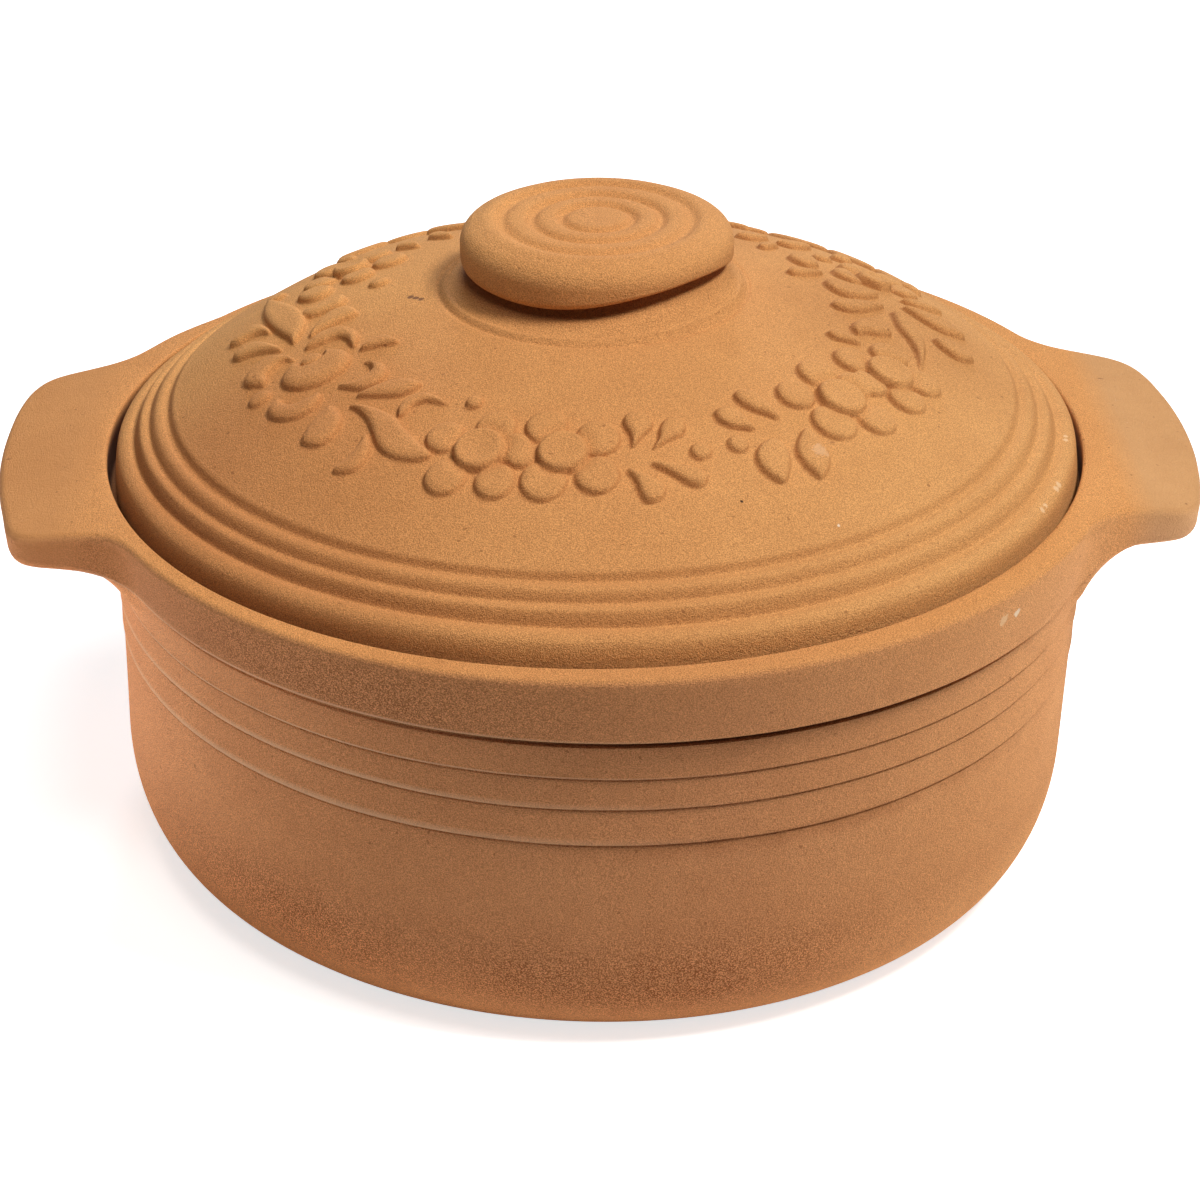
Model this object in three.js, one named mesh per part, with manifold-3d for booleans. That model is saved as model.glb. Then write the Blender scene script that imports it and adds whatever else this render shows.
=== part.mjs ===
import * as THREE from 'three';
import { mergeVertices } from 'three/addons/utils/BufferGeometryUtils.js';
import Module from 'manifold-3d';

// Round clay roaster with a domed lid. Millimetres, +Z up, standing on z = 0.
// The axis is Z, the two lugs lie along X and the front faces -Y.

// Pot: wall, floor and rounded foot
const potHeight = 111;
const wallRadius = 130.2;
const wallThickness = 9;
const floorThickness = 10;
const footRun = 20.6;
const footRise = 29;
const insideCornerRadius = 22;

// Turned steps under the rim, each overhanging the one below it
const upperStepHeight = 11.4;
const middleStepHeight = 8.8;
const lowerStepHeight = 10.3;
const stepOverhang = 0.45;
const stepTaper = 0.25;
const upperStepTaper = 1;

// Rim band, and the ledge inside it that carries the lid
const bandHeight = 18;
const bandOverhang = 1.3;
const bandTaper = 2.85;
const rimWidth = 5.7;
const rimRise = 0.8;
const rimRounding = 2;
const ledgeDepth = 9.5;

// Lugs: flat grips at the rim, with a curved gusset below each
const lugReach = 24.3;
const lugWidth = 94;
const lugThickness = 9.5;
const lugDroop = 3.5;
const lugCorner = 10;
const lugRootFlare = 14;
const gussetReach = 13;
const gussetWidth = 128;
const gussetFoot = 1;
const bondGap = 0.3;

// Lid: edge, ribbed flank and dome
const lidGap = 2;
const lidSeatGap = 0.3;
const lidThickness = 8;
const lidFlange = 9;
const lidEdgeRounding = 2.5;
const lidEdgeDrop = 1.5;
const shoulderRun = 2.05;
const shoulderRise = 3.1;
const ribCount = 3;
const ribPitch = 6.05;
const ribHeight = 1.5;
const flankSlope = 40.5;
const domeRise = 31.3;
const collarRise = 1.1;
const collarRun = 2;
const collarWidth = 12;
const bossMargin = 4;

// Knob: a round cap on a short neck, with turned rings on its top
const neckRadius = 24;
const neckFillet = 1.6;
const knobOverhang = 12.8;
const knobThickness = 12.4;
const knobUndercut = 1.9;
const knobRounding = 6;
const knobTopFall = 0.6;
const knobRingCount = 3;
const knobRingMargin = 6.2;
const knobRingWidth = 4.6;
const knobRingDepth = 0.9;

// Moulded garland on the dome
const garlandInset = 36;
const reliefHeight = 2;
const reliefRoot = 0.6;
const flowerRadius = 13.5;
const petalCount = 5;
const petalNotch = 4;
const buttonRadius = 6.2;
const buttonRise = 0.9;
const slimLeafWidth = 5.4;
const leafWidth = 7;
const broadLeafWidth = 9.4;
const dropWidth = 5.4;
const broadDropWidth = 8;
const pomegranateRadius = 8.6;
const berryRadius = 2.6;

// Where a leaf and a drop are fullest, as a share of their length
const leafBelly = 0.5;
const dropBelly = 0.34;

// Facets round a full turn, and steps along the curves
const turnedFacets = 60;
const knobFacets = 40;
const roundelFacets = 8;
const leafFacets = 6;
const leafSteps = 4;
const facetsPerPetal = 6;
const flowerSteps = 6;
const pointsPerRib = 4;
const smallArcSteps = 3;
const largeArcSteps = 6;
const edgeArcSteps = 8;
const domeSteps = 6;

const potClay = 0xb8845a;
const lugClay = 0xd09a63;
const lidClay = 0xd39a5f;
const knobClay = 0xd69f68;

// Radii and heights that follow from the sizes above
const insideRadius = wallRadius - wallThickness;
const lowerStepRadius = wallRadius + stepOverhang;
const middleStepRadius = lowerStepRadius + stepTaper + stepOverhang;
const upperStepRadius = middleStepRadius + stepTaper + stepOverhang;
const bandFootRadius = upperStepRadius + upperStepTaper + bandOverhang;
const rimOuterRadius = bandFootRadius + bandTaper;
const rimInnerRadius = rimOuterRadius - rimWidth;
const rimTop = potHeight + rimRise;
const ledgeTop = potHeight - ledgeDepth;
const bandFoot = potHeight - bandHeight;
const upperStepFoot = bandFoot - upperStepHeight;
const middleStepFoot = upperStepFoot - middleStepHeight;
const lowerStepFoot = middleStepFoot - lowerStepHeight;
const lugEndRadius = rimOuterRadius + lugReach;
const gussetTipRadius = rimOuterRadius + gussetReach;
const gussetFall = gussetTipRadius - bandFootRadius;
const lidRadius = rimInnerRadius - lidGap;
const lidSeat = ledgeTop + lidSeatGap;
const lidEdgeTop = potHeight - lidEdgeDrop;
const flankLength = ribCount * ribPitch;
const slopeAngle = THREE.MathUtils.degToRad(flankSlope);
const flankFootRadius = lidRadius - shoulderRun;
const flankFoot = potHeight + shoulderRise;
const flangeRadius = lidRadius - lidFlange;
const domeRadius = flankFootRadius - flankLength * Math.cos(slopeAngle);
const domeFoot = flankFoot + flankLength * Math.sin(slopeAngle);
const bossRadius = neckRadius + bossMargin;
const collarRadius = bossRadius + collarWidth;
const bossTop = domeFoot + domeRise;
const knobRadius = neckRadius + knobOverhang;
const knobFoot = bossTop + bondGap;
const knobUnderside = bossTop + knobUndercut;
const knobTop = knobUnderside + knobThickness;
const garlandRadius = domeRadius - garlandInset;

const wasm = await Module();
wasm.setup();

const point = (radius, height) => new THREE.Vector2(radius, height);

// Points of a quarter ellipse from the side at startAngle to the side at endAngle, in degrees
function arc(centre, radiusX, radiusY, startAngle, endAngle, steps) {
  const start = THREE.MathUtils.degToRad(startAngle);
  const end = THREE.MathUtils.degToRad(endAngle);
  const curve = new THREE.EllipseCurve(centre.x, centre.y, radiusX, radiusY, start, end, end < start);
  return curve.getPoints(steps);
}

// A profile of radius and height turned about Z
function turned(profile, facets) {
  return new THREE.LatheGeometry(profile, facets).rotateX(Math.PI / 2);
}

// A closed geometry as a solid, with its faces turned outwards
function solidFrom(geometry) {
  const bare = new THREE.BufferGeometry();
  bare.setAttribute('position', geometry.getAttribute('position'));
  bare.setIndex(geometry.getIndex());
  const merged = mergeVertices(bare, 1e-4);
  const position = merged.getAttribute('position');
  const corners = Array.from(merged.getIndex().array);
  const triangles = [];
  let volume = 0;
  for (let i = 0; i < corners.length; i += 3) {
    const [a, b, c] = corners.slice(i, i + 3);
    if (a === b || b === c || c === a) continue;
    triangles.push([a, b, c]);
    const [p, q, r] = [a, b, c].map((k) => new THREE.Vector3().fromBufferAttribute(position, k));
    volume += p.dot(q.cross(r));
  }
  const outward = volume > 0 ? triangles : triangles.map(([a, b, c]) => [a, c, b]);
  const vertProperties = new Float32Array(position.array);
  const triVerts = new Uint32Array(outward.flat());
  return new wasm.Manifold(new wasm.Mesh({ numProp: 3, vertProperties, triVerts }));
}

function clayMesh(name, solid, colour) {
  const { vertProperties, triVerts } = solid.getMesh();
  const geometry = new THREE.BufferGeometry();
  geometry.setAttribute('position', new THREE.BufferAttribute(vertProperties, 3));
  geometry.setIndex(new THREE.BufferAttribute(triVerts, 1));
  geometry.computeVertexNormals();
  const material = new THREE.MeshStandardMaterial({ color: colour, roughness: 0.92, metalness: 0 });
  const mesh = new THREE.Mesh(geometry, material);
  mesh.name = name;
  return mesh;
}

// Outside of the pot from the rim's top edge down to the middle of the base, grown by a gap
function potOutside(gap) {
  const roundingCentre = point(rimOuterRadius - rimRounding, potHeight - rimRounding);
  const footCentre = point(wallRadius - footRun, footRise);
  const below = (radius, height) => point(radius + gap, height - gap);
  return [
    ...arc(roundingCentre, rimRounding + gap, rimRounding + gap, 90, 0, smallArcSteps),
    below(bandFootRadius, bandFoot),
    below(upperStepRadius + upperStepTaper, bandFoot),
    below(upperStepRadius, upperStepFoot),
    below(middleStepRadius + stepTaper, upperStepFoot),
    below(middleStepRadius, middleStepFoot),
    below(lowerStepRadius + stepTaper, middleStepFoot),
    below(lowerStepRadius, lowerStepFoot),
    below(wallRadius, lowerStepFoot),
    ...arc(footCentre, footRun + gap, footRise + gap, 0, -90, largeArcSteps),
    point(0, -gap),
  ];
}

function potBody() {
  const cornerCentre = point(insideRadius - insideCornerRadius, floorThickness + insideCornerRadius);
  const profile = [
    point(0, floorThickness),
    ...arc(cornerCentre, insideCornerRadius, insideCornerRadius, -90, 0, largeArcSteps),
    point(insideRadius, ledgeTop),
    point(rimInnerRadius, ledgeTop),
    point(rimInnerRadius, rimTop),
    ...potOutside(0),
  ];
  return solidFrom(turned(profile, turnedFacets));
}

// The pot filled in and grown by the bond gap, which a lug is cut to
function potCutter() {
  return solidFrom(turned([point(0, rimTop + bondGap), ...potOutside(bondGap)], turnedFacets));
}

// Plan of a lug: concave blends out of the rim, rounded corners and an end concentric with the pot
function lugPlan() {
  const half = lugWidth / 2;
  const rootHalf = half + lugRootFlare;
  const rootX = Math.sqrt(rimOuterRadius ** 2 - rootHalf ** 2);
  const cornerX = Math.sqrt(lugEndRadius ** 2 - half ** 2);
  const corner = Math.min(lugCorner, cornerX - rimOuterRadius);
  const endAngle = Math.asin((half - corner) / lugEndRadius);
  const shape = new THREE.Shape();
  shape.moveTo(rootX - rimWidth, -rootHalf);
  shape.lineTo(rootX, -rootHalf);
  shape.quadraticCurveTo(rimOuterRadius, -half, cornerX - corner, -half);
  shape.quadraticCurveTo(cornerX, -half, lugEndRadius * Math.cos(endAngle), corner - half);
  shape.absarc(0, 0, lugEndRadius, -endAngle, endAngle, false);
  shape.quadraticCurveTo(cornerX, half, cornerX - corner, half);
  shape.quadraticCurveTo(rimOuterRadius, half, rootX, rootHalf);
  shape.lineTo(rootX - rimWidth, rootHalf);
  shape.closePath();
  return shape;
}

// The flat plate of a lug, towards +X, with a round end that droops a little
function lugPlate() {
  const endRound = lugThickness / 2;
  const droopAtRound = (lugDroop * (lugReach - endRound)) / lugReach;
  const roundCentre = point(lugEndRadius - endRound, potHeight - endRound - droopAtRound);
  const profile = [
    point(insideRadius, potHeight),
    point(rimOuterRadius, potHeight),
    ...arc(roundCentre, endRound, endRound, 90, -90, edgeArcSteps),
    point(rimOuterRadius, potHeight - lugThickness),
    point(insideRadius, potHeight - lugThickness),
    point(insideRadius, potHeight),
  ];
  const prism = { depth: potHeight, bevelEnabled: false, curveSegments: largeArcSteps };
  const plan = new THREE.ExtrudeGeometry(lugPlan(), prism).translate(0, 0, rimRise);
  return solidFrom(turned(profile, turnedFacets)).intersect(solidFrom(plan));
}

// The gusset under a plate: a curved web that thins out downwards and to both sides
function lugGusset() {
  const inner = insideRadius - gussetFall;
  const top = potHeight - lugThickness / 2;
  const tip = point(gussetTipRadius, potHeight - lugThickness);
  const toe = point(upperStepRadius + gussetFoot, upperStepFoot);
  const sweep = new THREE.QuadraticBezierCurve(tip, point(bandFootRadius, bandFoot), toe);
  const profile = [
    point(inner, top),
    point(gussetTipRadius, top),
    ...sweep.getPoints(largeArcSteps),
    point(inner, upperStepFoot),
    point(inner, top),
  ];
  const halfAngle = Math.asin(gussetWidth / 2 / rimOuterRadius);
  const web = turned(profile, turnedFacets);
  const position = web.getAttribute('position');
  for (let i = 0; i < position.count; i += 1) {
    const radius = Math.hypot(position.getX(i), position.getY(i));
    if (radius < insideRadius) continue;
    const angle = Math.abs(Math.atan2(position.getY(i), position.getX(i)));
    const fade = Math.min(1, angle / halfAngle);
    const scale = 1 - (gussetFall * Math.sin((fade * Math.PI) / 2) ** 2) / radius;
    position.setXY(i, position.getX(i) * scale, position.getY(i) * scale);
  }
  return solidFrom(web);
}

const lug = () => lugPlate().add(lugGusset()).subtract(potCutter());

// Height of the dome's outside at a distance from the axis
const domeHeight = (radius) => domeFoot + domeRise * (1 - (radius / domeRadius) ** 2);

// A point on the ribbed flank, by its distance down from the dome's foot
function flankPoint(distance) {
  const lift = (-ribHeight / 2) * Math.cos((2 * Math.PI * distance) / ribPitch);
  const radius = domeRadius + distance * Math.cos(slopeAngle) + lift * Math.sin(slopeAngle);
  const height = domeFoot - distance * Math.sin(slopeAngle) + lift * Math.cos(slopeAngle);
  return point(radius, height);
}

// Points spread evenly in radius along the dome, less a depth below its outside
function domePoints(fromRadius, toRadius, depth) {
  const points = [];
  for (let i = 0; i <= domeSteps; i += 1) {
    const radius = THREE.MathUtils.lerp(fromRadius, toRadius, i / domeSteps);
    points.push(point(radius, domeHeight(radius) - depth));
  }
  return points;
}

function lidShell() {
  const insideDomeRadius = domeRadius - lidThickness * Math.sin(slopeAngle);
  const insideFlankRun = flankFootRadius - lidThickness * Math.sin(slopeAngle) - flangeRadius;
  const flangeTop = flankFoot - lidThickness * Math.cos(slopeAngle) + insideFlankRun * Math.tan(slopeAngle);
  const edgeCentre = point(lidRadius - lidEdgeRounding, lidSeat + lidEdgeRounding);
  const flank = [];
  for (let i = ribCount * pointsPerRib; i > 0; i -= 1) {
    flank.push(flankPoint((i * ribPitch) / pointsPerRib));
  }
  const edgeTop = point(lidRadius, lidEdgeTop);
  const shoulder = new THREE.QuadraticBezierCurve(edgeTop, point(lidRadius, potHeight), flank[0]);
  const profile = [
    ...domePoints(0, insideDomeRadius, lidThickness),
    point(flangeRadius, flangeTop),
    point(flangeRadius, lidSeat),
    ...arc(edgeCentre, lidEdgeRounding, lidEdgeRounding, -90, 0, smallArcSteps),
    ...shoulder.getPoints(smallArcSteps),
    ...flank.slice(1),
    ...domePoints(domeRadius, collarRadius, 0),
    point(collarRadius - collarRun, domeHeight(collarRadius) + collarRise),
    point(bossRadius, bossTop),
    point(0, bossTop),
  ];
  return solidFrom(turned(profile, turnedFacets));
}

// A raised blob along a curve in plan: full at its belly and thin at both ends
function moulded(curve, width, height, belly, facets) {
  const skew = Math.log(0.5) / Math.log(1 - belly);
  const geometry = new THREE.SphereGeometry(1, facets, leafSteps);
  const position = geometry.getAttribute('position');
  for (let i = 0; i < position.count; i += 1) {
    const along = 1 - Math.max(0, (1 - position.getY(i)) / 2) ** (1 / skew);
    const at = curve.getPoint(along);
    const tangent = curve.getTangent(along);
    const aside = (position.getX(i) * width) / 2;
    const x = at.x - tangent.y * aside;
    const y = at.y + tangent.x * aside;
    const rise = position.getZ(i);
    const lift = (rise > 0 ? rise * (height + reliefRoot) : rise) - reliefRoot;
    position.setXYZ(i, x, y, domeHeight(Math.hypot(x, y)) + lift);
  }
  return solidFrom(geometry);
}

// Places in the garland are written in hundredths of its radius
const place = ([x, y]) => new THREE.Vector2(x, y).multiplyScalar(garlandRadius / 100);

function leaf(from, over, to, width = leafWidth) {
  const curve = new THREE.QuadraticBezierCurve(place(from), place(over), place(to));
  return moulded(curve, width, reliefHeight, leafBelly, leafFacets);
}

function drop(head, tail, width = dropWidth) {
  const curve = new THREE.LineCurve(place(head), place(tail));
  return moulded(curve, width, reliefHeight, dropBelly, leafFacets);
}

function roundel(centre, radius, height) {
  const offset = new THREE.Vector2(radius, 0);
  const curve = new THREE.LineCurve(centre.clone().sub(offset), centre.clone().add(offset));
  return moulded(curve, 2 * radius, height, leafBelly, roundelFacets);
}

const berry = (centre) => roundel(place(centre), berryRadius, reliefHeight);

// A disc of round petals with a button in its middle
function flower(centre, turn) {
  const middle = place(centre);
  const facets = petalCount * facetsPerPetal;
  const disc = new THREE.SphereGeometry(1, facets, flowerSteps).rotateX(Math.PI / 2);
  const position = disc.getAttribute('position');
  for (let i = 0; i < position.count; i += 1) {
    const angle = Math.atan2(position.getY(i), position.getX(i));
    const lobe = Math.sqrt(Math.abs(Math.sin((petalCount * angle) / 2)));
    const share = Math.hypot(position.getX(i), position.getY(i));
    const reach = share * (flowerRadius - petalNotch * (1 - lobe));
    const heading = angle + THREE.MathUtils.degToRad(turn);
    const x = middle.x + reach * Math.cos(heading);
    const y = middle.y + reach * Math.sin(heading);
    const rise = position.getZ(i);
    const lift = (rise > 0 ? rise * (reliefHeight + reliefRoot) : rise) - reliefRoot;
    position.setXYZ(i, x, y, domeHeight(Math.hypot(x, y)) + lift);
  }
  return [solidFrom(disc), roundel(middle, buttonRadius, reliefHeight + buttonRise)];
}

// Front of the garland: two flowers side by side with a spray of drops
function frontSpray() {
  return [
    ...flower([-36.8, -98.9], 30),
    ...flower([-10.6, -102.5], 45),
    drop([10.8, -86.9], [11.1, -100.5]),
    drop([23.2, -88.2], [17.5, -99.9]),
    drop([16, -118.5], [9.8, -107.7]),
    drop([28.1, -111.5], [17.3, -105.6]),
    berry([31.7, -99.9]),
    berry([44.8, -94.5]),
    berry([-38.1, -77.3]),
  ];
}

// Right of the garland: a second pair of flowers among leaves and drops
function rightSpray() {
  return [
    ...flower([78.2, -63.6], 15),
    ...flower([96.5, -41], 50),
    drop([37.3, -82.7], [49.7, -87.8]),
    drop([43.3, -71.9], [58, -80.6]),
    leaf([55.4, -88.6], [45.1, -99.2], [58.5, -107.4]),
    leaf([65.9, -81.9], [59.8, -92.2], [70.1, -102.3]),
    berry([78.6, -26.3]),
    leaf([86.3, -18.8], [88.2, -10.3], [97.9, -5.9]),
    drop([79.8, -2.1], [90.1, 0.8]),
    leaf([101.7, 7.7], [107.4, -11.6], [110.8, -28.3], broadLeafWidth),
    leaf([115.4, -4.6], [122.9, -12.9], [130.1, -6.2]),
    drop([78.6, 16], [98.4, 21.1], broadDropWidth),
    leaf([106.1, 17.5], [117.2, 7.7], [128, 15.2]),
    berry([67.5, 21.4]),
  ];
}

// Left of the garland: a pomegranate ringed with leaves, and a long curling leaf towards the front
function leftSpray() {
  return [
    leaf([-79.8, -66.5], [-70.3, -88.1], [-48.2, -99.4], broadLeafWidth),
    leaf([-63.6, -77.3], [-57.2, -63.1], [-45.8, -75.2], slimLeafWidth),
    leaf([-78.8, -62.6], [-67.7, -55.9], [-56.1, -63.4]),
    drop([-90.1, -79.3], [-86.3, -62.6], broadDropWidth),
    leaf([-73.9, -81.1], [-74.2, -93.5], [-83.5, -94.8], slimLeafWidth),
    leaf([-75.5, -44.6], [-60, -54.9], [-83.7, -55.6], slimLeafWidth),
    leaf([-78.6, -37.3], [-72.6, -28.3], [-65.2, -35], slimLeafWidth),
    roundel(place([-92, -39.9]), pomegranateRadius, reliefHeight),
    berry([-94.8, -33.5]),
    leaf([-86.8, -16], [-75, -21.4], [-82.7, -31.4], slimLeafWidth),
    leaf([-98.1, -26.3], [-94.5, -14.2], [-87.1, -23.2]),
    leaf([-101.7, -27.6], [-117.2, -14.9], [-112, -38.6], slimLeafWidth),
    drop([-114.6, -44.3], [-106.4, -47.1]),
    leaf([-107.4, -51.5], [-104.3, -64.9], [-89.4, -57.4]),
    drop([-123.6, -6.4], [-106.1, -18], broadDropWidth),
    leaf([-127.2, 5.7], [-120.5, 20.6], [-111.5, 2.1], slimLeafWidth),
    leaf([-103.3, -14.9], [-106.9, 6.4], [-115.6, 25], broadLeafWidth),
    drop([-85.8, -3.3], [-97.9, -14.7], broadDropWidth),
    leaf([-100.2, 5.4], [-92.7, 10.3], [-86.3, 8], slimLeafWidth),
    berry([-74.7, 16.4]),
  ];
}

// Back of the garland: single flowers towards the sides and a spray between them
function backSpray() {
  return [
    ...flower([91.4, 42.5], 20),
    ...flower([-90.1, 46.4], 10),
    ...flower([11.6, 101.7], 40),
    leaf([59.2, 54.1], [59.2, 72.1], [74.7, 72.1]),
    leaf([67, 85], [54.1, 85], [41.2, 97.9], broadLeafWidth),
    leaf([-59.2, 56.7], [-61.8, 74.7], [-74.7, 74.7]),
    leaf([-64.4, 87.6], [-51.5, 85], [-36.1, 95.3], broadLeafWidth),
    drop([-10.3, 87.6], [-15.5, 99.2]),
    drop([-23.2, 113.3], [-12.9, 104.3]),
    berry([-33.5, 82.4]),
    berry([36.1, 82.4]),
  ];
}

function lid() {
  const garland = [...frontSpray(), ...rightSpray(), ...leftSpray(), ...backSpray()];
  return garland.reduce((shell, piece) => shell.add(piece), lidShell());
}

function knob() {
  const edgeRadius = knobRadius - knobRounding;
  const edgeRise = knobThickness / 2;
  const edgeCentre = point(edgeRadius, knobUnderside + edgeRise);
  const ringSpacing = (edgeRadius - knobRingMargin) / knobRingCount;
  const rings = [];
  for (let i = knobRingCount; i > 0; i -= 1) {
    const groove = i * ringSpacing;
    const surface = knobTop - (knobTopFall * groove) / knobRadius;
    rings.push(point(groove + knobRingWidth / 2, surface));
    rings.push(point(groove, surface - knobRingDepth));
    rings.push(point(groove - knobRingWidth / 2, surface));
  }
  const profile = [
    point(0, knobFoot),
    point(neckRadius, knobFoot),
    point(neckRadius + neckFillet, knobUnderside),
    ...arc(edgeCentre, knobRounding, edgeRise, -90, 90, edgeArcSteps),
    ...rings,
    point(0, knobTop),
  ];
  return solidFrom(turned(profile, knobFacets));
}

const pot = new THREE.Group();
pot.add(clayMesh('pot_body', potBody(), potClay));
const rightLug = clayMesh('lug_right', lug(), lugClay);
const leftLug = clayMesh('lug_left', lug(), lugClay);
leftLug.rotation.z = Math.PI;
pot.add(rightLug, leftLug);

const cover = new THREE.Group();
cover.add(clayMesh('lid', lid(), lidClay));
cover.add(clayMesh('knob', knob(), knobClay));

const roaster = new THREE.Group();
roaster.add(pot, cover);

export default roaster;
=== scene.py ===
import math
from types import SimpleNamespace

import bpy
import numpy as np
from mathutils import Matrix, Vector


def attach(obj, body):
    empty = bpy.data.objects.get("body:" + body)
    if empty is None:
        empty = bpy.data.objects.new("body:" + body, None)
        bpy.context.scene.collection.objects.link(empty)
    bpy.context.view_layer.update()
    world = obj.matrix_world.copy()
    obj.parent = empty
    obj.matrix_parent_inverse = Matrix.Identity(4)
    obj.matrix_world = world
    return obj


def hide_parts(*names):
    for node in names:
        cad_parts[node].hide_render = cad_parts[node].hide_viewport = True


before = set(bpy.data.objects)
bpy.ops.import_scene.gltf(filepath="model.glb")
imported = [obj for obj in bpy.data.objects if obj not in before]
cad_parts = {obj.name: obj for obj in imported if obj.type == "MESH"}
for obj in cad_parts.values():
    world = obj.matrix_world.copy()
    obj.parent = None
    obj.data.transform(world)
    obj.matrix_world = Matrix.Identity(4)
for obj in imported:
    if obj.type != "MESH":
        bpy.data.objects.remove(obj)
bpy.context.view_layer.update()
scene = bpy.context.scene
mm = 0.001
print("frame loaded:", ", ".join(sorted(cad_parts)))

# How the roaster was thrown and set down: the rim plane leans against the base
throwing = {
    "rimLean": 1.36,      # degrees, right side up
    "leanFrom": 30.0,     # height where the lean starts, mm
    "leanAtBand": 0.3,    # share of it at the foot of the band
    "leanTo": 111.0,      # height where all of it is there
    "mouthShift": -1.7,   # mm, the mouth and the lid sit off the axis
    "lidShift": -2.0,
    "lidTurn": -2.4,      # degrees, how the loose lid lies on the pot
}


# The rim plane and all that rests on it are turned about the middle of the rim
def leaned(points):
    turn = math.radians(throwing["rimLean"])
    x, z = points[..., 0].copy(), points[..., 2] - throwing["leanTo"]
    points[..., 0] = x * math.cos(turn) - z * math.sin(turn)
    points[..., 2] = x * math.sin(turn) + z * math.cos(turn) + throwing["leanTo"]
    return points


# Share of the lean at a height on the pot's outside
def leanShare(z):
    t, bandFoot = throwing, potShape["bandFoot"]
    low = t["leanAtBand"] * np.clip((z - t["leanFrom"]) / (bandFoot - t["leanFrom"]), 0, 1)
    high = (1 - t["leanAtBand"]) * np.clip((z - bandFoot) / (t["leanTo"] - bandFoot), 0, 1)
    return low + high


def easeStep(low, high, value):
    t = np.clip((value - low) / (high - low), 0.0, 1.0)
    return t * t * (3 - 2 * t)


# Corners as (radius, height, rounding) become a line of points with soft corners
def roundedLine(corners, perCorner, perSide):
    corners = [np.array(c, float) for c in corners]
    line = []
    for i, corner in enumerate(corners):
        here, rounding = corner[:2], corner[2]
        if i == 0 or i == len(corners) - 1 or rounding <= 0:
            line.append(here)
        else:
            before, after = corners[i - 1][:2], corners[i + 1][:2]
            back, ahead = before - here, after - here
            back, ahead = back / np.linalg.norm(back), ahead / np.linalg.norm(ahead)
            angle = math.acos(np.clip(np.dot(back, ahead), -1, 1))
            cut = rounding / math.tan(angle / 2)
            start, end = here + back * cut, here + ahead * cut
            centre = here + (back + ahead) / np.linalg.norm(back + ahead) * (rounding / math.sin(angle / 2))
            for t in np.linspace(0, 1, perCorner):
                spoke = (start - centre) * (1 - t) + (end - centre) * t
                line.append(centre + spoke / np.linalg.norm(spoke) * rounding)
        if i < len(corners) - 1:
            line.append(None)    # the side to the next corner is filled in below
    full = []
    for i, entry in enumerate(line):
        if entry is not None:
            full.append(entry)
            continue
        a, b = line[i - 1], line[i + 1]
        for t in np.linspace(0, 1, perSide + 2)[1:-1]:
            full.append(a * (1 - t) + b * t)
    return np.array(full)


# Point of a curve at the share u of the way from here to the point after
def curvePoint(before, here, after, past, u):
    bend = 2 * before - 5 * here + 4 * after - past
    twist = 3 * here - before - 3 * after + past
    return 0.5 * (2 * here + (after - before) * u + bend * u ** 2 + twist * u ** 3)


# Curve through points, with some more points between each two
def smoothLine(points, between):
    c = np.array(points, float)
    c = np.vstack([2 * c[0] - c[1], c, 2 * c[-1] - c[-2]])
    line = []
    for before, here, after, past in zip(c, c[1:], c[2:], c[3:]):
        for u in np.linspace(0, 1, between, endpoint=False):
            line.append(curvePoint(before, here, after, past, u))
    return np.vstack([line, c[-2]])


# Rows of points round the axis, in mm, become one closed mesh with a point at each end
def turnedMesh(name, rows, firstPole, lastPole, masks):
    rows = np.asarray(rows, float)
    rowCount, columnCount = rows.shape[:2]
    points = np.vstack([rows.reshape(-1, 3), firstPole, lastPole]) * mm
    column = np.arange(columnCount)
    beside = (column + 1) % columnCount
    quads = []
    for r in range(rowCount - 1):
        low, high = r * columnCount, (r + 1) * columnCount
        quads.append(np.stack([low + column, low + beside, high + beside, high + column], axis=1))
    quads = np.vstack(quads)
    first, last = rowCount * columnCount, rowCount * columnCount + 1
    top = (rowCount - 1) * columnCount
    fans = np.vstack([
        np.stack([np.full(columnCount, first), beside, column], axis=1),
        np.stack([np.full(columnCount, last), top + column, top + beside], axis=1),
    ])
    a, b, c = points[quads[:, 0]], points[quads[:, 1]], points[quads[:, 2]]
    if np.einsum("ij,ij->i", a, np.cross(b, c)).sum() < 0:    # faces look inwards
        quads, fans = quads[:, ::-1], fans[:, ::-1]
    mesh = bpy.data.meshes.new(name)
    mesh.from_pydata(points.tolist(), [], quads.tolist() + fans.tolist())
    mesh.polygons.foreach_set("use_smooth", [True] * len(mesh.polygons))
    for maskName, values in masks.items():
        layer = mesh.attributes.new(maskName, "FLOAT", "POINT")
        layer.data.foreach_set("value", np.append(np.ravel(values), [0.0, 0.0]).astype(np.float32))
    mesh.update()
    piece = bpy.data.objects.new(name, mesh)
    scene.collection.objects.link(piece)
    return piece


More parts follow.
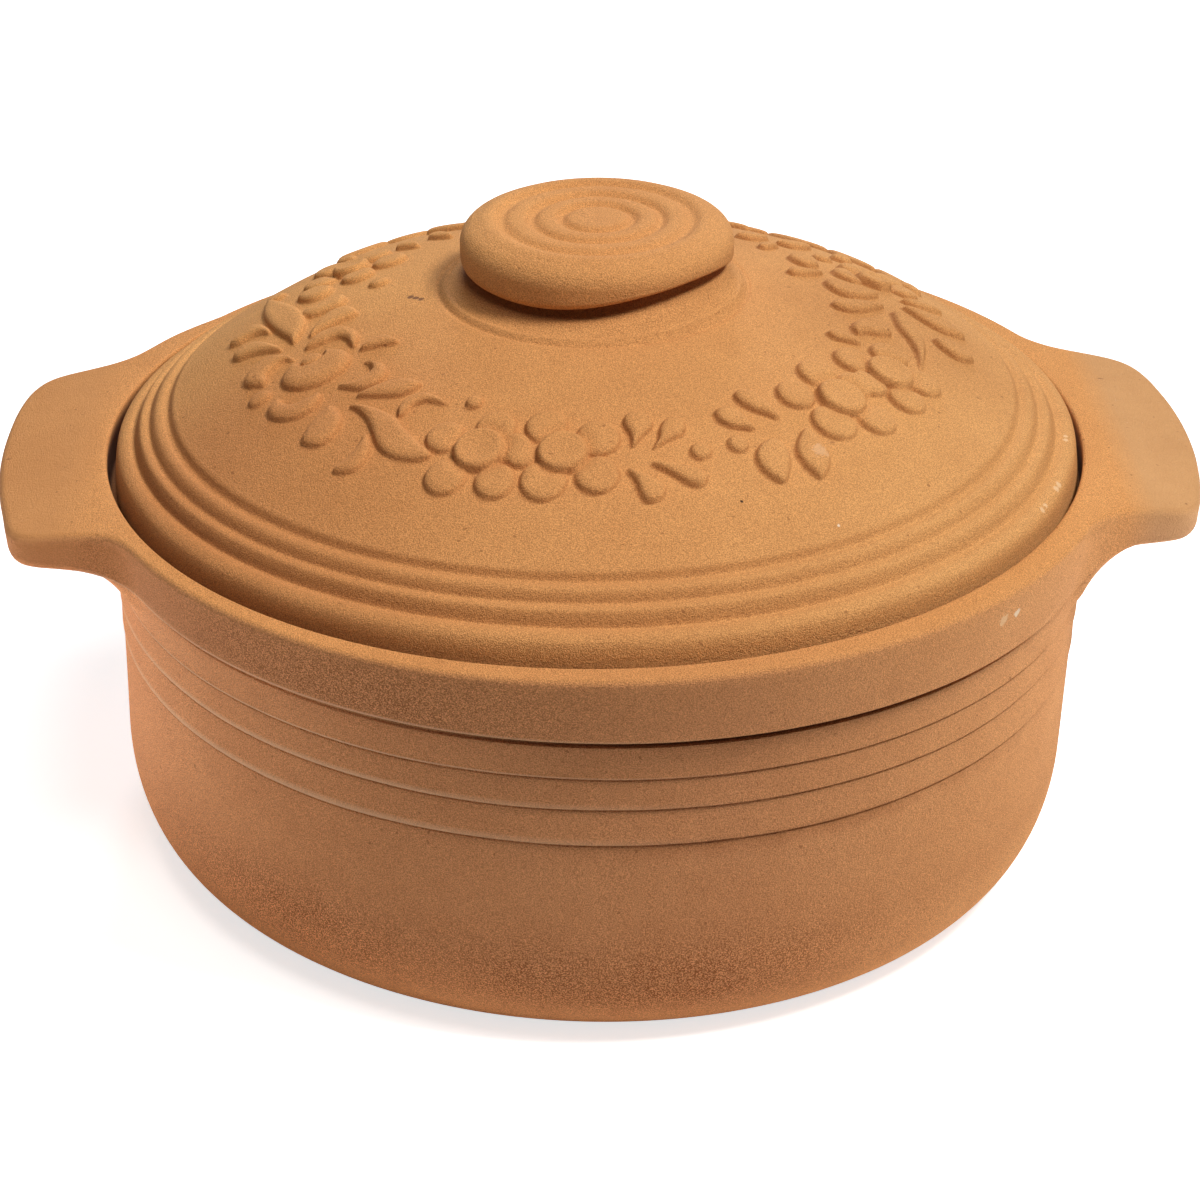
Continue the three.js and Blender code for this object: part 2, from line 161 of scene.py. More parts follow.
# Pot with its two lugs, all one skin of clay, in mm
potShape = {
    "floor": 10.0, "floorStart": 3.0, "insideRadius": 121.2, "insideCorner": 22.0,
    "ledge": 101.5, "ledgeRounds": (1.6, 0.9),
    "rimInner": 130.9, "rimInnerRound": 1.0, "rimOuter": 137.2, "rimRound": 1.4, "rimTop": 111.9,
    "topStart": 3.0, "topFall": 0.07, "lugFall": 0.09,    # the top falls outwards, more so on the lugs
    "mouthFrom": 60.0, "mouthRun": 35.0,                  # heights over which the mouth leaves the axis
    "goldFrom": 100.0, "goldRun": 8.0, "edgeGold": 0.7, "faceGold": 0.25,
    "gapFoot": 0.6, "gapTop": (0.4, 3.0),                 # painted shade in the gap beside the lid's edge
    "bandFoot": 93.0, "bandFootRadius": 134.4, "bandLip": 0.3, "lipStart": 2.0, "lipRise": 0.6,
    "lipWide": 0.4, "underBand": 132.6, "bandEnd": 4.2, "bandSeed": 0.4, "bandWobble": 0.12,
    # seam under the band with painted shade in it and just below it, by x: the seam opens from the left, and
    # both close again at the right
    "seamDeep": 0.8, "seamHigh": 1.75, "seamIn": 0.3, "seamRound": 0.2, "seamSoft": 0.5,
    "seamEdges": (0.6, 0.2), "seamOpens": (-70, 25), "seamCloses": (72, 108), "seamClosed": 0.8,
    "belowSeam": (3.6, 2.0), "belowSeamDark": 0.3,
    # steps: the dark values give painted shade in the crease under each lip, the lip values a painted
    # highlight on it
    "stepFeet": (81.6, 72.8, 62.5), "stepRadii": (131.9, 131.45, 131.15), "stepRise": 1.2, "stepLip": 0.2,
    "stepIn": 0.36, "undercut": 0.35, "undercutRound": 0.1, "stepSettle": 0.7, "stepSettleRound": 0.3,
    "stepReach": 1.6, "stepDark": 0.6, "stepDarkWide": 0.25, "stepLipHigh": 0.5, "stepLipWide": 0.3,
    "stepSeeds": (2.3, 5.1), "stepWobble": (0.16, 0.12),
    "wallRadius": 130.75, "wallBend": 40.0, "footRun": 18.5, "footRise": 30.4, "footFullness": 2.14,
    "baseEnd": 4.0,
    "ringColumns": 150, "lugColumns": 160, "topRows": 14, "edgeRows": 10, "faceRows": 9, "wallRows": 8,
    "footRows": 26, "baseRows": 9,
}
# Plan of each lug, outwards and backwards from the axis in mm, from the back root to the front root
lugShape = {
    "left": ((109.6, 82.6), (117.0, 76.0), (123.4, 69.4), (128.0, 62.8), (132.4, 57.2), (138.0, 53.8),
             (145.0, 51.8), (151.5, 50.2), (156.2, 47.4), (159.3, 42.0), (161.0, 35.0), (162.1, 24.0),
             (162.3, 6.0), (161.3, -10.0), (159.1, -25.0), (156.4, -37.4), (154.6, -45.4), (151.9, -50.4),
             (147.2, -52.8), (142.0, -53.8), (135.5, -55.4), (130.0, -56.8), (126.0, -59.2), (122.6, -62.8),
             (119.4, -67.6)),
    "right": ((119.4, 67.6), (123.0, 60.6), (126.4, 56.4), (131.2, 53.4), (138.0, 51.9), (145.0, 50.5),
              (150.4, 48.4), (154.2, 44.4), (156.6, 38.0), (158.2, 30.0), (159.8, 18.0), (160.5, 4.6),
              (160.1, -10.4), (158.4, -25.0), (156.2, -36.6), (154.2, -43.4), (150.8, -47.6), (145.2, -49.4),
              (139.0, -50.6), (134.0, -52.2), (129.6, -54.8), (125.4, -58.2), (121.6, -62.8), (118.4, -69.3)),
    "lead": 6.0,          # degrees of rim between the points that lead into a root
    "soften": 1.5, "between": 24, "finePoints": 900,
    "topRound": 1.9, "draft": 0.3, "underside": 98.2, "underRound": 3.2, "underGrow": 0.3,
    "underTurn": 0.4,     # share of the lower rows that goes round the lower edge
    "underFall": 10.5, "underPower": 2.4, "underLean": 0.7, "blend": 10.0, "flare": 2.0,
}


# Points evenly spaced along a line, and the distance between two
def respaced(points, count):
    along = np.append(0, np.cumsum(np.linalg.norm(np.diff(points, axis=0), axis=1)))
    even = np.linspace(0, along[-1], count)
    return np.stack([np.interp(even, along, points[:, k]) for k in (0, 1)], axis=1), along[-1] / (count - 1)


# Smooth line through the points of a lug's plan that leaves the rim along its curve
def lugOutline(side):
    rim, g = potShape["rimOuter"], lugShape

    def onRim(angle):
        return rim * np.array([math.cos(math.radians(angle)), math.sin(math.radians(angle))])

    given = np.array(g[side])
    first = math.degrees(math.atan2(given[0, 1], given[0, 0]))
    last = math.degrees(math.atan2(given[-1, 1], given[-1, 0]))
    leadIn = [onRim(first + 2 * g["lead"]), onRim(first + g["lead"])]
    leadOut = [onRim(last - g["lead"]), onRim(last - 2 * g["lead"])]
    line = smoothLine(np.vstack([leadIn, given, leadOut]), g["between"])
    line, pitch = respaced(line, g["finePoints"])
    reach = int(3 * g["soften"] / pitch)
    soft = np.exp(-0.5 * (np.arange(-reach, reach + 1) * pitch / g["soften"]) ** 2)
    soft /= soft.sum()
    line = np.stack([np.convolve(line[:, k], soft, "valid") for k in (0, 1)], axis=1)
    out = np.linalg.norm(line, axis=1)
    line *= np.maximum(1, rim / out)[:, None]
    return respaced(line, potShape["lugColumns"])[0]


def spokesAt(angles):
    return np.stack([np.cos(angles), np.sin(angles)], axis=1)


# Outer edge of rim and lugs in plan, with the angle that each point belongs to on the inner edge
def potOutline():
    rim, ringPoints = potShape["rimOuter"], potShape["ringColumns"] + 2

    def angleOf(point):
        return math.atan2(point[1], point[0])

    right, left = lugOutline("right"), lugOutline("left")[::-1] * np.array([-1.0, 1.0])
    rightAngles = np.linspace(angleOf(right[0]), angleOf(right[-1]), len(right))
    leftStart, leftEnd = angleOf(left[0]), angleOf(left[-1]) - 2 * math.pi
    leftAngles = np.linspace(leftStart, leftEnd, len(left))
    front = np.linspace(rightAngles[-1], leftStart, ringPoints)[1:-1]
    back = np.linspace(leftEnd, rightAngles[0] - 2 * math.pi, ringPoints)[1:-1]
    edge = np.vstack([right, spokesAt(front) * rim, left, spokesAt(back) * rim])
    return edge, np.concatenate([rightAngles, front, leftAngles, back])


# Slow unevenness of a hand-thrown edge, about 0 with a swing of 1
def handWobble(angles, seed):
    waves = ((3, 0.30), (7, 0.28), (13, 0.22), (29, 0.20))    # waves in a turn, and the size of each
    return sum(size * np.sin(count * angles + seed * (k + 1.7)) for k, (count, size) in enumerate(waves))


# Plan of the pot: its outer edge, the spoke of each column, and how far the lugs stand out there
def potPlan():
    s, g = potShape, lugShape
    p = SimpleNamespace()
    p.edge, p.angles = potOutline()
    p.spokes = spokesAt(p.angles)
    tangent = np.roll(p.edge, -1, axis=0) - np.roll(p.edge, 1, axis=0)
    tangent /= np.linalg.norm(tangent, axis=1)[:, None]
    p.inward = np.stack([tangent[:, 1], -tangent[:, 0]], axis=1)
    if (p.inward * p.edge).sum() > 0:
        p.inward = -p.inward
    p.reach = np.linalg.norm(p.edge, axis=1) - s["rimOuter"]
    p.lugShare = easeStep(0.0, g["blend"], p.reach)
    p.rounding = s["rimRound"] * (1 - p.lugShare) + g["topRound"] * p.lugShare
    p.underRound = np.minimum(g["underRound"], g["underGrow"] * np.clip(p.reach, 0, None) + g["draft"])
    p.mouth = np.array([throwing["mouthShift"], 0.0])
    return p


# Band and lug values, mixed by how far the edge stands out
def mixed(p, band, lug):
    share = p.lugShare if np.ndim(lug) < 2 else p.lugShare[:, None]
    return band * (1 - share) + lug * share


def topHeight(xy):
    s = potShape
    out = np.linalg.norm(xy, axis=1)
    onLug = np.maximum(out - s["rimOuter"] + 1, 0)
    return s["rimTop"] - s["topFall"] * (out - s["rimInner"]) - s["lugFall"] * onLug


# One row of the pot's skin: plan, height, share of the lean and the masks that it has
def skinRow(xy, z, lean, **masks):
    return {"xy": xy, "z": z, "lean": lean, **masks}


def ringRow(p, radius, z, lean=0.0, **masks):
    return skinRow(p.spokes * np.reshape(np.broadcast_to(radius, p.angles.shape), (-1, 1)), z, lean, **masks)


# Floor, wall and ledge inside, and the rim's inner face
def insideRows(p):
    s = potShape
    line = roundedLine([
        (s["floorStart"], s["floor"], 0), (s["insideRadius"], s["floor"], s["insideCorner"]),
        (s["insideRadius"], s["ledge"], s["ledgeRounds"][0]),
        (s["rimInner"], s["ledge"], s["ledgeRounds"][1]), (s["rimInner"], s["rimTop"], s["rimInnerRound"]),
        (s["rimInner"] + s["topStart"], s["rimTop"] - s["topStart"] * s["topFall"], 0),
    ], perCorner=8, perSide=6)
    rows = []
    for radius, z in line[line[:, 0] <= s["rimInner"] + s["rimInnerRound"]]:
        high = np.clip((z - s["mouthFrom"]) / s["mouthRun"], 0, 1)
        gold = np.clip((z - s["goldFrom"]) / s["goldRun"], 0, 1)
        # painted shade in the gap beside the lid's edge, from the ledge up to near the top
        aboveLedge = easeStep(s["ledge"] - s["gapFoot"], s["ledge"] + s["gapFoot"], z)
        belowTop = easeStep(s["rimTop"] - s["gapTop"][0], s["rimTop"] - s["gapTop"][1], z)
        xy = p.spokes * radius + p.mouth * high
        rows.append(skinRow(xy, z, high, gold=gold, gap=aboveLedge * belowTop))
    return rows


# Top of the rim and lugs, then over the edge
def rimRows(p):
    s = potShape
    inner = p.spokes * (s["rimInner"] + s["rimInnerRound"]) + p.mouth
    outer = p.edge + p.inward * p.rounding[:, None]
    rows = []
    for t in np.linspace(0, 1, s["topRows"])[1:-1]:
        xy = inner * (1 - t) + outer * t
        rows.append(skinRow(xy, topHeight(xy), 1.0, gold=1.0))
    for turn in np.radians(np.linspace(0, 90, s["edgeRows"])):
        xy = p.edge + p.inward * (p.rounding * (1 - math.sin(turn)))[:, None]
        z = topHeight(xy) - p.rounding * (1 - math.cos(turn))
        rows.append(skinRow(xy, z, 1.0, gold=1 - s["edgeGold"] * math.sin(turn) ** 3))
    return rows


# The band's face, and where the lugs stand out their end
def faceRows(p):
    s, g = potShape, lugShape
    faceTop = topHeight(p.edge) - p.rounding
    faceFoot = s["bandFoot"] + s["bandLip"] + s["lipRise"]
    rows = []
    for share in np.linspace(1, 0, s["faceRows"])[1:]:
        bandZ = faceTop * share + faceFoot * (1 - share)
        lugZ = faceTop * share + (g["underside"] + p.underRound) * (1 - share)
        bandXY = p.spokes * (s["rimOuter"] * share + s["bandFootRadius"] * (1 - share))
        lugXY = p.edge + p.inward * (g["draft"] * (1 - share))
        lean = mixed(p, leanShare(bandZ), 1.0)
        rows.append(skinRow(mixed(p, bandXY, lugXY), mixed(p, bandZ, lugZ), lean, gold=s["faceGold"] * share))
    return rows


# The band's lip and the seam under it, and where the lugs stand out their lower edge and underside
def seamRows(p):
    s, g = potShape, lugShape
    bandFoot, footRadius, underBand = s["bandFoot"], s["bandFootRadius"], s["underBand"]
    seamFoot, seamRadius = bandFoot - s["seamHigh"], underBand - s["seamIn"]
    line = roundedLine([
        (footRadius, bandFoot + s["lipStart"], 0), (footRadius, bandFoot, s["bandLip"]),
        (seamRadius, bandFoot + 0.1, s["seamRound"]), (seamRadius, seamFoot, s["seamRound"]),
        (underBand, seamFoot - s["seamSoft"], s["seamSoft"]), (underBand - 0.1, bandFoot - s["bandEnd"], 0),
    ], perCorner=5, perSide=3)[4:]    # without the start of the lip, which is on the face
    seamEnd = 1 - s["seamClosed"] * easeStep(*s["seamCloses"], p.edge[:, 0])
    seamSide = easeStep(*s["seamOpens"], p.edge[:, 0]) * seamEnd
    wobble = s["bandWobble"] * handWobble(p.angles, s["bandSeed"])
    wall = p.spokes * (underBand + g["flare"] * p.lugShare)[:, None]
    rows = []
    for k, (radius, bandZ) in enumerate(line):
        t = (k + 1) / len(line)
        turn = min(t / g["underTurn"], 1) * math.pi / 2
        along = max(0, (t - g["underTurn"]) / (1 - g["underTurn"]))
        rounded = p.edge + p.inward * (g["draft"] + p.underRound * (1 - math.cos(turn)))[:, None]
        lugXY = rounded * (1 - along) + wall * along
        lugZ = g["underside"] + p.underRound * (1 - math.sin(turn))
        lugZ = lugZ - g["underFall"] * along ** g["underPower"]
        inSeam = easeStep(footRadius - s["seamEdges"][0], underBand - s["seamEdges"][1], radius)
        inSeam *= easeStep(seamFoot - s["seamSoft"], seamFoot, bandZ)
        bandXY = p.spokes * (radius + wobble - s["seamDeep"] * inSeam * seamSide)[:, None]
        # painted shade in the seam and just below it, and a painted highlight on the band's lip
        below = easeStep(bandFoot - s["belowSeam"][0], bandFoot - s["belowSeam"][1], bandZ)
        dark = max(inSeam, s["belowSeamDark"] * below * (radius < underBand + 0.1))
        groove = dark * seamEnd * (1 - p.lugShare)
        lip = (radius > footRadius - s["lipWide"]) * (1 - p.lugShare)
        lean = mixed(p, leanShare(bandZ), 1 - g["underLean"] * along ** 2)
        rows.append(skinRow(mixed(p, bandXY, lugXY), mixed(p, bandZ, lugZ), lean, groove=groove, lip=lip))
    return rows


# The wall with its three steps, from the row where the seam or the lug's underside ended
def stepRows(p, above):
    s = potShape
    startRadius, startZ = np.linalg.norm(above["xy"], axis=1), above["z"]
    firstRadius, firstTop = s["stepRadii"][0], s["stepFeet"][0] + s["stepRise"]
    rows = []
    for t in np.linspace(0, 1, s["wallRows"])[1:-1]:
        z = startZ * (1 - t) + firstTop * t
        rows.append(ringRow(p, startRadius * (1 - t) + firstRadius * t, z, leanShare(z)))
    corners = [(firstRadius, firstTop, 0)]
    for radius, z in zip(s["stepRadii"], s["stepFeet"]):
        corners.append((radius, z, s["stepLip"]))
        corners.append((radius - s["stepIn"] - s["undercut"], z - s["undercutRound"], s["undercutRound"]))
        corners.append((radius - s["stepIn"], z - s["stepSettle"], s["stepSettleRound"]))
    corners.append((s["wallRadius"], (s["stepFeet"][-1] + s["footRise"]) / 2, s["wallBend"]))
    corners.append((s["wallRadius"], s["footRise"], 0))
    for radius, z in roundedLine(corners, perCorner=5, perSide=4):
        near = min(range(len(s["stepFeet"])), key=lambda k: abs(s["stepFeet"][k] - z))
        stepFoot, stepRadius = s["stepFeet"][near], s["stepRadii"][near]
        close = math.exp(-((z - stepFoot) / s["stepReach"]) ** 2)
        fromUndercut = radius - stepRadius + s["stepIn"] + s["undercut"]
        # painted shade in the crease under each step, and a painted highlight on its lip
        dark = s["stepDark"] * close * math.exp(-(fromUndercut / s["stepDarkWide"]) ** 2)
        onLip = abs(z - stepFoot) < s["stepLipHigh"] and radius > stepRadius - s["stepLipWide"]
        out, up = (handWobble(p.angles, near + seed) * size * close
                   for seed, size in zip(s["stepSeeds"], s["stepWobble"]))
        rows.append(ringRow(p, radius + out, z + up, leanShare(z), groove=dark, lip=float(onLip)))
    return rows


# Rounded foot and flat base
def footRows(p):
    s = potShape
    rows = []
    for turn in np.radians(np.linspace(0, 90, s["footRows"]))[1:]:
        across, down = math.cos(turn) ** (2 / s["footFullness"]), math.sin(turn) ** (2 / s["footFullness"])
        rows.append(ringRow(p, s["wallRadius"] - s["footRun"] * (1 - across), s["footRise"] * (1 - down)))
    for radius in np.linspace(s["wallRadius"] - s["footRun"], s["baseEnd"], s["baseRows"])[1:]:
        rows.append(ringRow(p, radius, 0.0))
    return rows


def makePot():
    p = potPlan()
    inside = insideRows(p)
    skin = inside + rimRows(p) + faceRows(p) + seamRows(p)
    skin += stepRows(p, skin[-1])
    skin += footRows(p)

    def allRows(name):
        return np.array([np.broadcast_to(row.get(name, 0.0), p.angles.shape) for row in skin], float)

    plan = np.array([row["xy"] for row in skin])
    rows = np.concatenate([plan, allRows("z")[..., None]], axis=2)
    rows += (leaned(rows.copy()) - rows) * allRows("lean")[..., None]
    masks = {name: allRows(name) for name in ("gold", "groove", "lip", "gap")}
    masks["outside"] = np.ones(rows.shape[:2])
    masks["outside"][:len(inside)] = 0
    pot = turnedMesh("roaster_pot", rows, (0, 0, potShape["floor"]), (0, 0, 0), masks)
    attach(pot, "pot")
    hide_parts("pot_body", "lug_left", "lug_right")
    print("pot and lugs:", len(pot.data.polygons), "faces")
    return pot


# Moulded garland on the lid, in mm from the axis with the front at -y
garland = {
    "padPower": 2.6, "edge": 2.6,                          # how a pad rises from its outline
    "leafHeight": 1.8, "backHeight": 1.4, "leafRound": 0.95, "narrowLeaf": (0.55, 0.45), "leastDepth": 0.5,
    "leafMargin": 2,
    "petalHeight": 1.7, "petalFall": 0.5, "fallZone": (3.6, 0.4), "flowerReach": 22,
    "buttonHeight": 2.6, "buttonEdge": 1.8, "dishEdge": 1.4, "dotHeight": 1.4, "dotEdge": 0.9,
    # middle, radius and dish of the button, then middle and radius of each petal
    "flowers": [
        ((-26.7, -77.2), 6.4, 0.55, [(-35.3, -71.3, 4.9), (-22.8, -70.2, 5.2), (-18.4, -77.4, 4.6),
         (-22.6, -87.0, 5.1), (-34.6, -83.8, 5.4)]),
        ((-6.5, -79.8), 6.3, 0.25, [(-10.4, -71.1, 5.3), (2.1, -75.2, 5.6), (2.0, -86.4, 5.5),
         (-10.8, -87.8, 5.9), (-16.4, -79.6, 4.0)]),
        ((62.8, -48.6), 6.2, 0.25, [(51.2, -51.4, 5.0), (60.6, -58.4, 5.8), (71.6, -52.6, 5.0),
         (57.2, -40.4, 5.2), (66.8, -41.0, 4.6)]),
        ((76.2, -31.0), 6.1, 0.25, [(66.8, -29.8, 5.0), (70.6, -38.4, 4.8), (80.2, -40.0, 4.9),
         (85.0, -29.6, 4.9), (76.8, -21.2, 5.0)]),
        ((76.4, 30.0), 4.9, 0.6, [(69.4, 28.2, 4.6), (72.0, 37.4, 4.8), (81.0, 38.8, 4.8),
         (84.8, 31.6, 4.2)]),
        ((-66.6, 30.6), 5.2, 0.4, [(-75.0, 25.8, 4.6), (-64.0, 21.6, 4.7), (-56.0, 28.8, 5.0),
         (-61.0, 39.6, 5.0), (-73.0, 38.4, 5.0)]),
        ((-13.0, 79.0), 6.2, 0.3, [(-21.4, 74.4, 5.2), (-22.0, 83.6, 5.2), (-13.4, 89.0, 5.4),
         (-4.6, 85.4, 4.8), (-9.8, 70.4, 5.2)]),
        ((8.4, 78.6), 6.2, 0.3, [(12.6, 69.8, 5.2), (18.0, 79.4, 5.2), (12.4, 88.2, 5.4), (1.2, 87.4, 5.0),
         (1.6, 73.0, 4.6)]),
    ],
    "dots": [
        ((27.2, -77.0), 2.7), ((36.3, -73.0), 2.7), ((-28.4, -60.4), 2.3), ((-84.8, -37.0), 3.0),
        ((-57.4, 10.6), 2.9), ((-87.6, 29.0), 3.0), ((63.0, 42.0), 2.8), ((-36.0, 70.6), 2.7),
        ((29.6, 74.0), 2.7),
    ],
    "leaves": [
        # drops beside the front flowers
        ((8.2, -68.9), (9.6, -66.4), (12.4, -65.9), (15.2, -68.0), (15.4, -71.0), (13.2, -74.0),
         (10.7, -77.6), (9.9, -74.0), (8.8, -71.8)),
        ((17.0, -71.4), (18.4, -68.0), (21.2, -66.8), (23.4, -68.8), (23.0, -72.2), (19.8, -74.8),
         (15.8, -77.6), (16.8, -74.2)),
        ((15.0, -82.2), (18.0, -81.6), (22.6, -82.0), (27.0, -83.0), (28.8, -85.4), (27.2, -87.8),
         (24.2, -87.6), (19.6, -84.9)),
        ((9.2, -84.2), (12.4, -85.2), (16.2, -86.8), (18.6, -89.4), (17.6, -92.6), (14.2, -93.6),
         (12.4, -91.4), (11.2, -88.0)),
        # to the right of them
        ((30.6, -63.6), (32.0, -61.6), (34.4, -61.2), (37.4, -62.8), (39.6, -65.4), (40.6, -67.5),
         (37.6, -67.8), (34.6, -67.8), (31.6, -66.2)),
        ((35.6, -55.8), (37.2, -53.8), (40.0, -53.6), (43.4, -56.2), (45.6, -59.2), (46.8, -61.9),
         (43.4, -61.4), (39.6, -60.4), (36.6, -58.4)),
        ((40.5, -75.6), (42.0, -71.6), (45.0, -69.2), (47.6, -70.8), (49.0, -74.6), (48.6, -79.0),
         (47.4, -82.6), (44.2, -81.8), (41.4, -79.2)),
        ((50.5, -71.2), (51.4, -66.8), (53.2, -63.2), (56.2, -66.0), (58.6, -70.0), (58.8, -74.0),
         (56.6, -78.6), (53.4, -76.6), (51.4, -74.2)),
        # right side, up to the far flower
        ((60.8, -19.2), (62.4, -17.0), (65.0, -17.2), (67.6, -19.0), (69.6, -20.3), (66.0, -21.2),
         (62.6, -21.4)),
        ((67.6, -12.0), (69.0, -7.6), (72.0, -4.0), (75.6, -3.2), (78.0, -5.4), (78.4, -9.0), (75.4, -11.6),
         (71.6, -13.0), (69.4, -15.0)),
        ((80.0, 8.4), (83.2, 5.6), (86.0, 0.6), (87.5, -5.6), (87.2, -12.0), (86.4, -17.0), (85.4, -22.0),
         (84.8, -14.6), (83.2, -8.4), (80.8, -2.2), (80.0, 3.6)),
        ((90.4, -0.6), (92.4, -4.6), (96.2, -6.8), (99.8, -5.2), (101.2, -1.8), (98.0, 1.6), (93.6, 2.0)),
        ((63.0, -1.2), (64.0, 2.0), (67.4, 5.0), (72.0, 7.6), (77.6, 9.8), (76.0, 6.0), (72.8, 1.6),
         (69.0, -1.8), (65.4, -2.6)),
        ((62.0, 13.4), (62.6, 17.0), (66.0, 18.6), (71.0, 18.2), (76.8, 18.4), (75.4, 14.4), (72.0, 10.6),
         (68.0, 8.6), (64.4, 9.6)),
        ((83.4, 15.8), (87.0, 11.6), (91.0, 8.8), (95.4, 8.8), (100.0, 11.4), (99.4, 15.4), (95.0, 17.6),
         (89.0, 17.2)),
        ((52.0, 16.4), (53.6, 19.8), (58.2, 21.4), (62.0, 23.2), (60.4, 19.6), (57.4, 16.6), (53.8, 14.6)),
        ((53.0, 30.5), (55.0, 27.0), (58.0, 25.8), (60.8, 28.2), (61.2, 32.6), (59.6, 35.8), (56.4, 36.8),
         (53.8, 34.6)),
        ((83.4, 21.4), (88.0, 20.6), (92.6, 23.4), (95.4, 26.8), (91.0, 27.6), (86.6, 24.8)),
        ((45.2, 35.6), (47.4, 35.2), (49.4, 38.4), (50.6, 42.6), (47.2, 41.4), (45.2, 38.8)),
        ((39.0, 46.0), (42.4, 44.6), (46.4, 47.4), (48.4, 52.4), (44.0, 52.0), (40.4, 49.8)),
        ((50.4, 48.0), (54.6, 46.4), (58.4, 49.4), (60.6, 55.0), (55.8, 54.6), (52.0, 52.0)),
        ((66.0, 47.4), (70.0, 46.6), (72.0, 49.8), (69.6, 55.2), (66.4, 52.0)),
        ((84.8, 41.4), (88.2, 39.6), (91.0, 41.8), (88.4, 46.4), (85.0, 45.0)),
        # left side: long leaf, the petals round the fruit, then down to the front flowers
        ((-89.6, 28.0), (-86.8, 24.0), (-83.0, 16.6), (-79.4, 9.2), (-76.8, 2.0), (-75.7, -4.8),
         (-76.6, -11.0), (-78.2, -14.2), (-80.2, -10.2), (-83.0, -5.0), (-86.4, 3.0), (-88.8, 11.4),
         (-90.0, 20.0)),
        ((-95.3, -7.7), (-92.9, -4.7), (-89.3, -4.9), (-86.0, -8.0), (-83.1, -11.8), (-81.1, -16.2),
         (-85.0, -14.2), (-89.4, -12.2), (-93.4, -11.2)),
        ((-92.5, 8.8), (-96.3, 6.0), (-97.5, 2.6), (-95.0, 0.4), (-91.4, 1.0), (-88.8, 0.4), (-85.8, -1.8),
         (-86.6, 2.0), (-88.4, 5.6), (-90.2, 7.8)),
        ((-85.2, -17.9), (-88.6, -21.0), (-90.2, -25.0), (-88.8, -29.0), (-84.6, -31.6), (-83.4, -30.0),
         (-83.6, -27.2), (-82.0, -24.6), (-79.6, -23.2), (-77.2, -24.0), (-78.6, -21.2), (-81.6, -18.8)),
        ((-80.2, -41.0), (-82.0, -44.3), (-80.2, -48.5), (-75.2, -51.3), (-70.2, -50.6), (-67.8, -46.8),
         (-68.6, -43.9), (-71.2, -45.0), (-75.2, -45.6), (-77.8, -43.6), (-78.6, -41.2)),
        ((-65.2, -50.8), (-62.6, -54.6), (-61.8, -58.8), (-64.0, -63.4), (-67.7, -64.5), (-71.2, -62.2),
         (-71.6, -59.4), (-69.4, -55.0)),
        ((-74.4, -20.2), (-73.1, -16.6), (-70.2, -14.0), (-66.0, -13.8), (-62.3, -16.7), (-60.3, -21.4),
         (-60.8, -26.6), (-62.2, -25.2), (-63.6, -21.8), (-66.4, -19.6), (-70.2, -20.2)),
        ((-69.3, -2.8), (-65.2, -2.2), (-62.6, -4.8), (-61.8, -8.8), (-66.8, -10.8), (-71.0, -12.6),
         (-73.6, -14.0), (-73.8, -11.4), (-72.2, -6.8)),
        ((-77.2, 4.0), (-72.8, 4.8), (-69.4, 7.2), (-66.8, 7.2), (-65.6, 4.4), (-66.4, 0.8), (-70.2, -0.8),
         (-74.8, -0.8), (-77.2, 1.2)),
        ((-80.4, 18.8), (-77.6, 21.0), (-73.4, 20.8), (-70.2, 17.0), (-71.4, 13.0), (-75.4, 11.6),
         (-79.0, 14.4)),
        ((-59.3, -29.3), (-57.8, -26.4), (-54.3, -25.1), (-51.4, -26.4), (-49.2, -30.2), (-54.2, -29.9)),
        ((-57.8, -35.4), (-54.3, -37.2), (-51.8, -40.2), (-51.2, -43.6), (-53.1, -46.4), (-56.8, -47.7),
         (-60.2, -46.4), (-64.1, -43.3), (-59.4, -43.6), (-56.9, -42.2), (-55.6, -40.0), (-56.4, -37.6)),
        ((-58.7, -49.8), (-54.3, -47.7), (-49.3, -46.8), (-45.2, -47.7), (-42.2, -50.2), (-43.5, -52.3),
         (-47.7, -53.5), (-52.7, -52.2)),
        ((-47.4, -61.4), (-47.5, -57.8), (-45.6, -55.2), (-41.8, -54.2), (-38.1, -56.4), (-34.8, -60.2),
         (-37.8, -58.9), (-40.8, -57.7), (-43.6, -58.4), (-45.4, -60.6)),
        ((-60.4, -52.6), (-56.0, -54.2), (-51.8, -57.6), (-47.7, -61.8), (-45.0, -66.4), (-42.4, -70.6),
         (-39.6, -74.2), (-38.4, -77.0), (-42.0, -77.6), (-46.0, -76.2), (-50.0, -73.4), (-52.6, -69.2),
         (-54.0, -64.3), (-55.4, -60.2), (-57.8, -56.0)),
        ((-55.2, -64.6), (-53.5, -70.2), (-55.6, -75.2), (-59.3, -76.4), (-63.0, -74.3), (-59.3, -71.4),
         (-56.8, -67.8)),
        # behind the knob
        ((-55.6, 44.4), (-52.4, 47.0), (-49.6, 44.6), (-48.4, 39.4), (-52.0, 40.6)),
        ((-47.0, 51.0), (-43.6, 53.6), (-40.8, 50.0), (-39.6, 44.4), (-43.8, 46.4)),
        ((-72.6, 48.0), (-68.8, 50.4), (-66.4, 47.6), (-67.2, 43.8), (-71.0, 45.0)),
        ((-48.6, 68.0), (-42.0, 63.6), (-34.0, 61.8), (-38.2, 66.6), (-44.0, 70.6)),
        ((28.4, 62.4), (33.4, 62.4), (38.6, 66.6), (34.4, 68.4), (30.0, 66.4)),
        ((34.0, 78.6), (38.4, 75.2), (44.4, 74.2), (41.0, 78.4), (37.0, 81.0)),
    ],
    # lower leaves along the skyline at the back
    "backLeaves": [
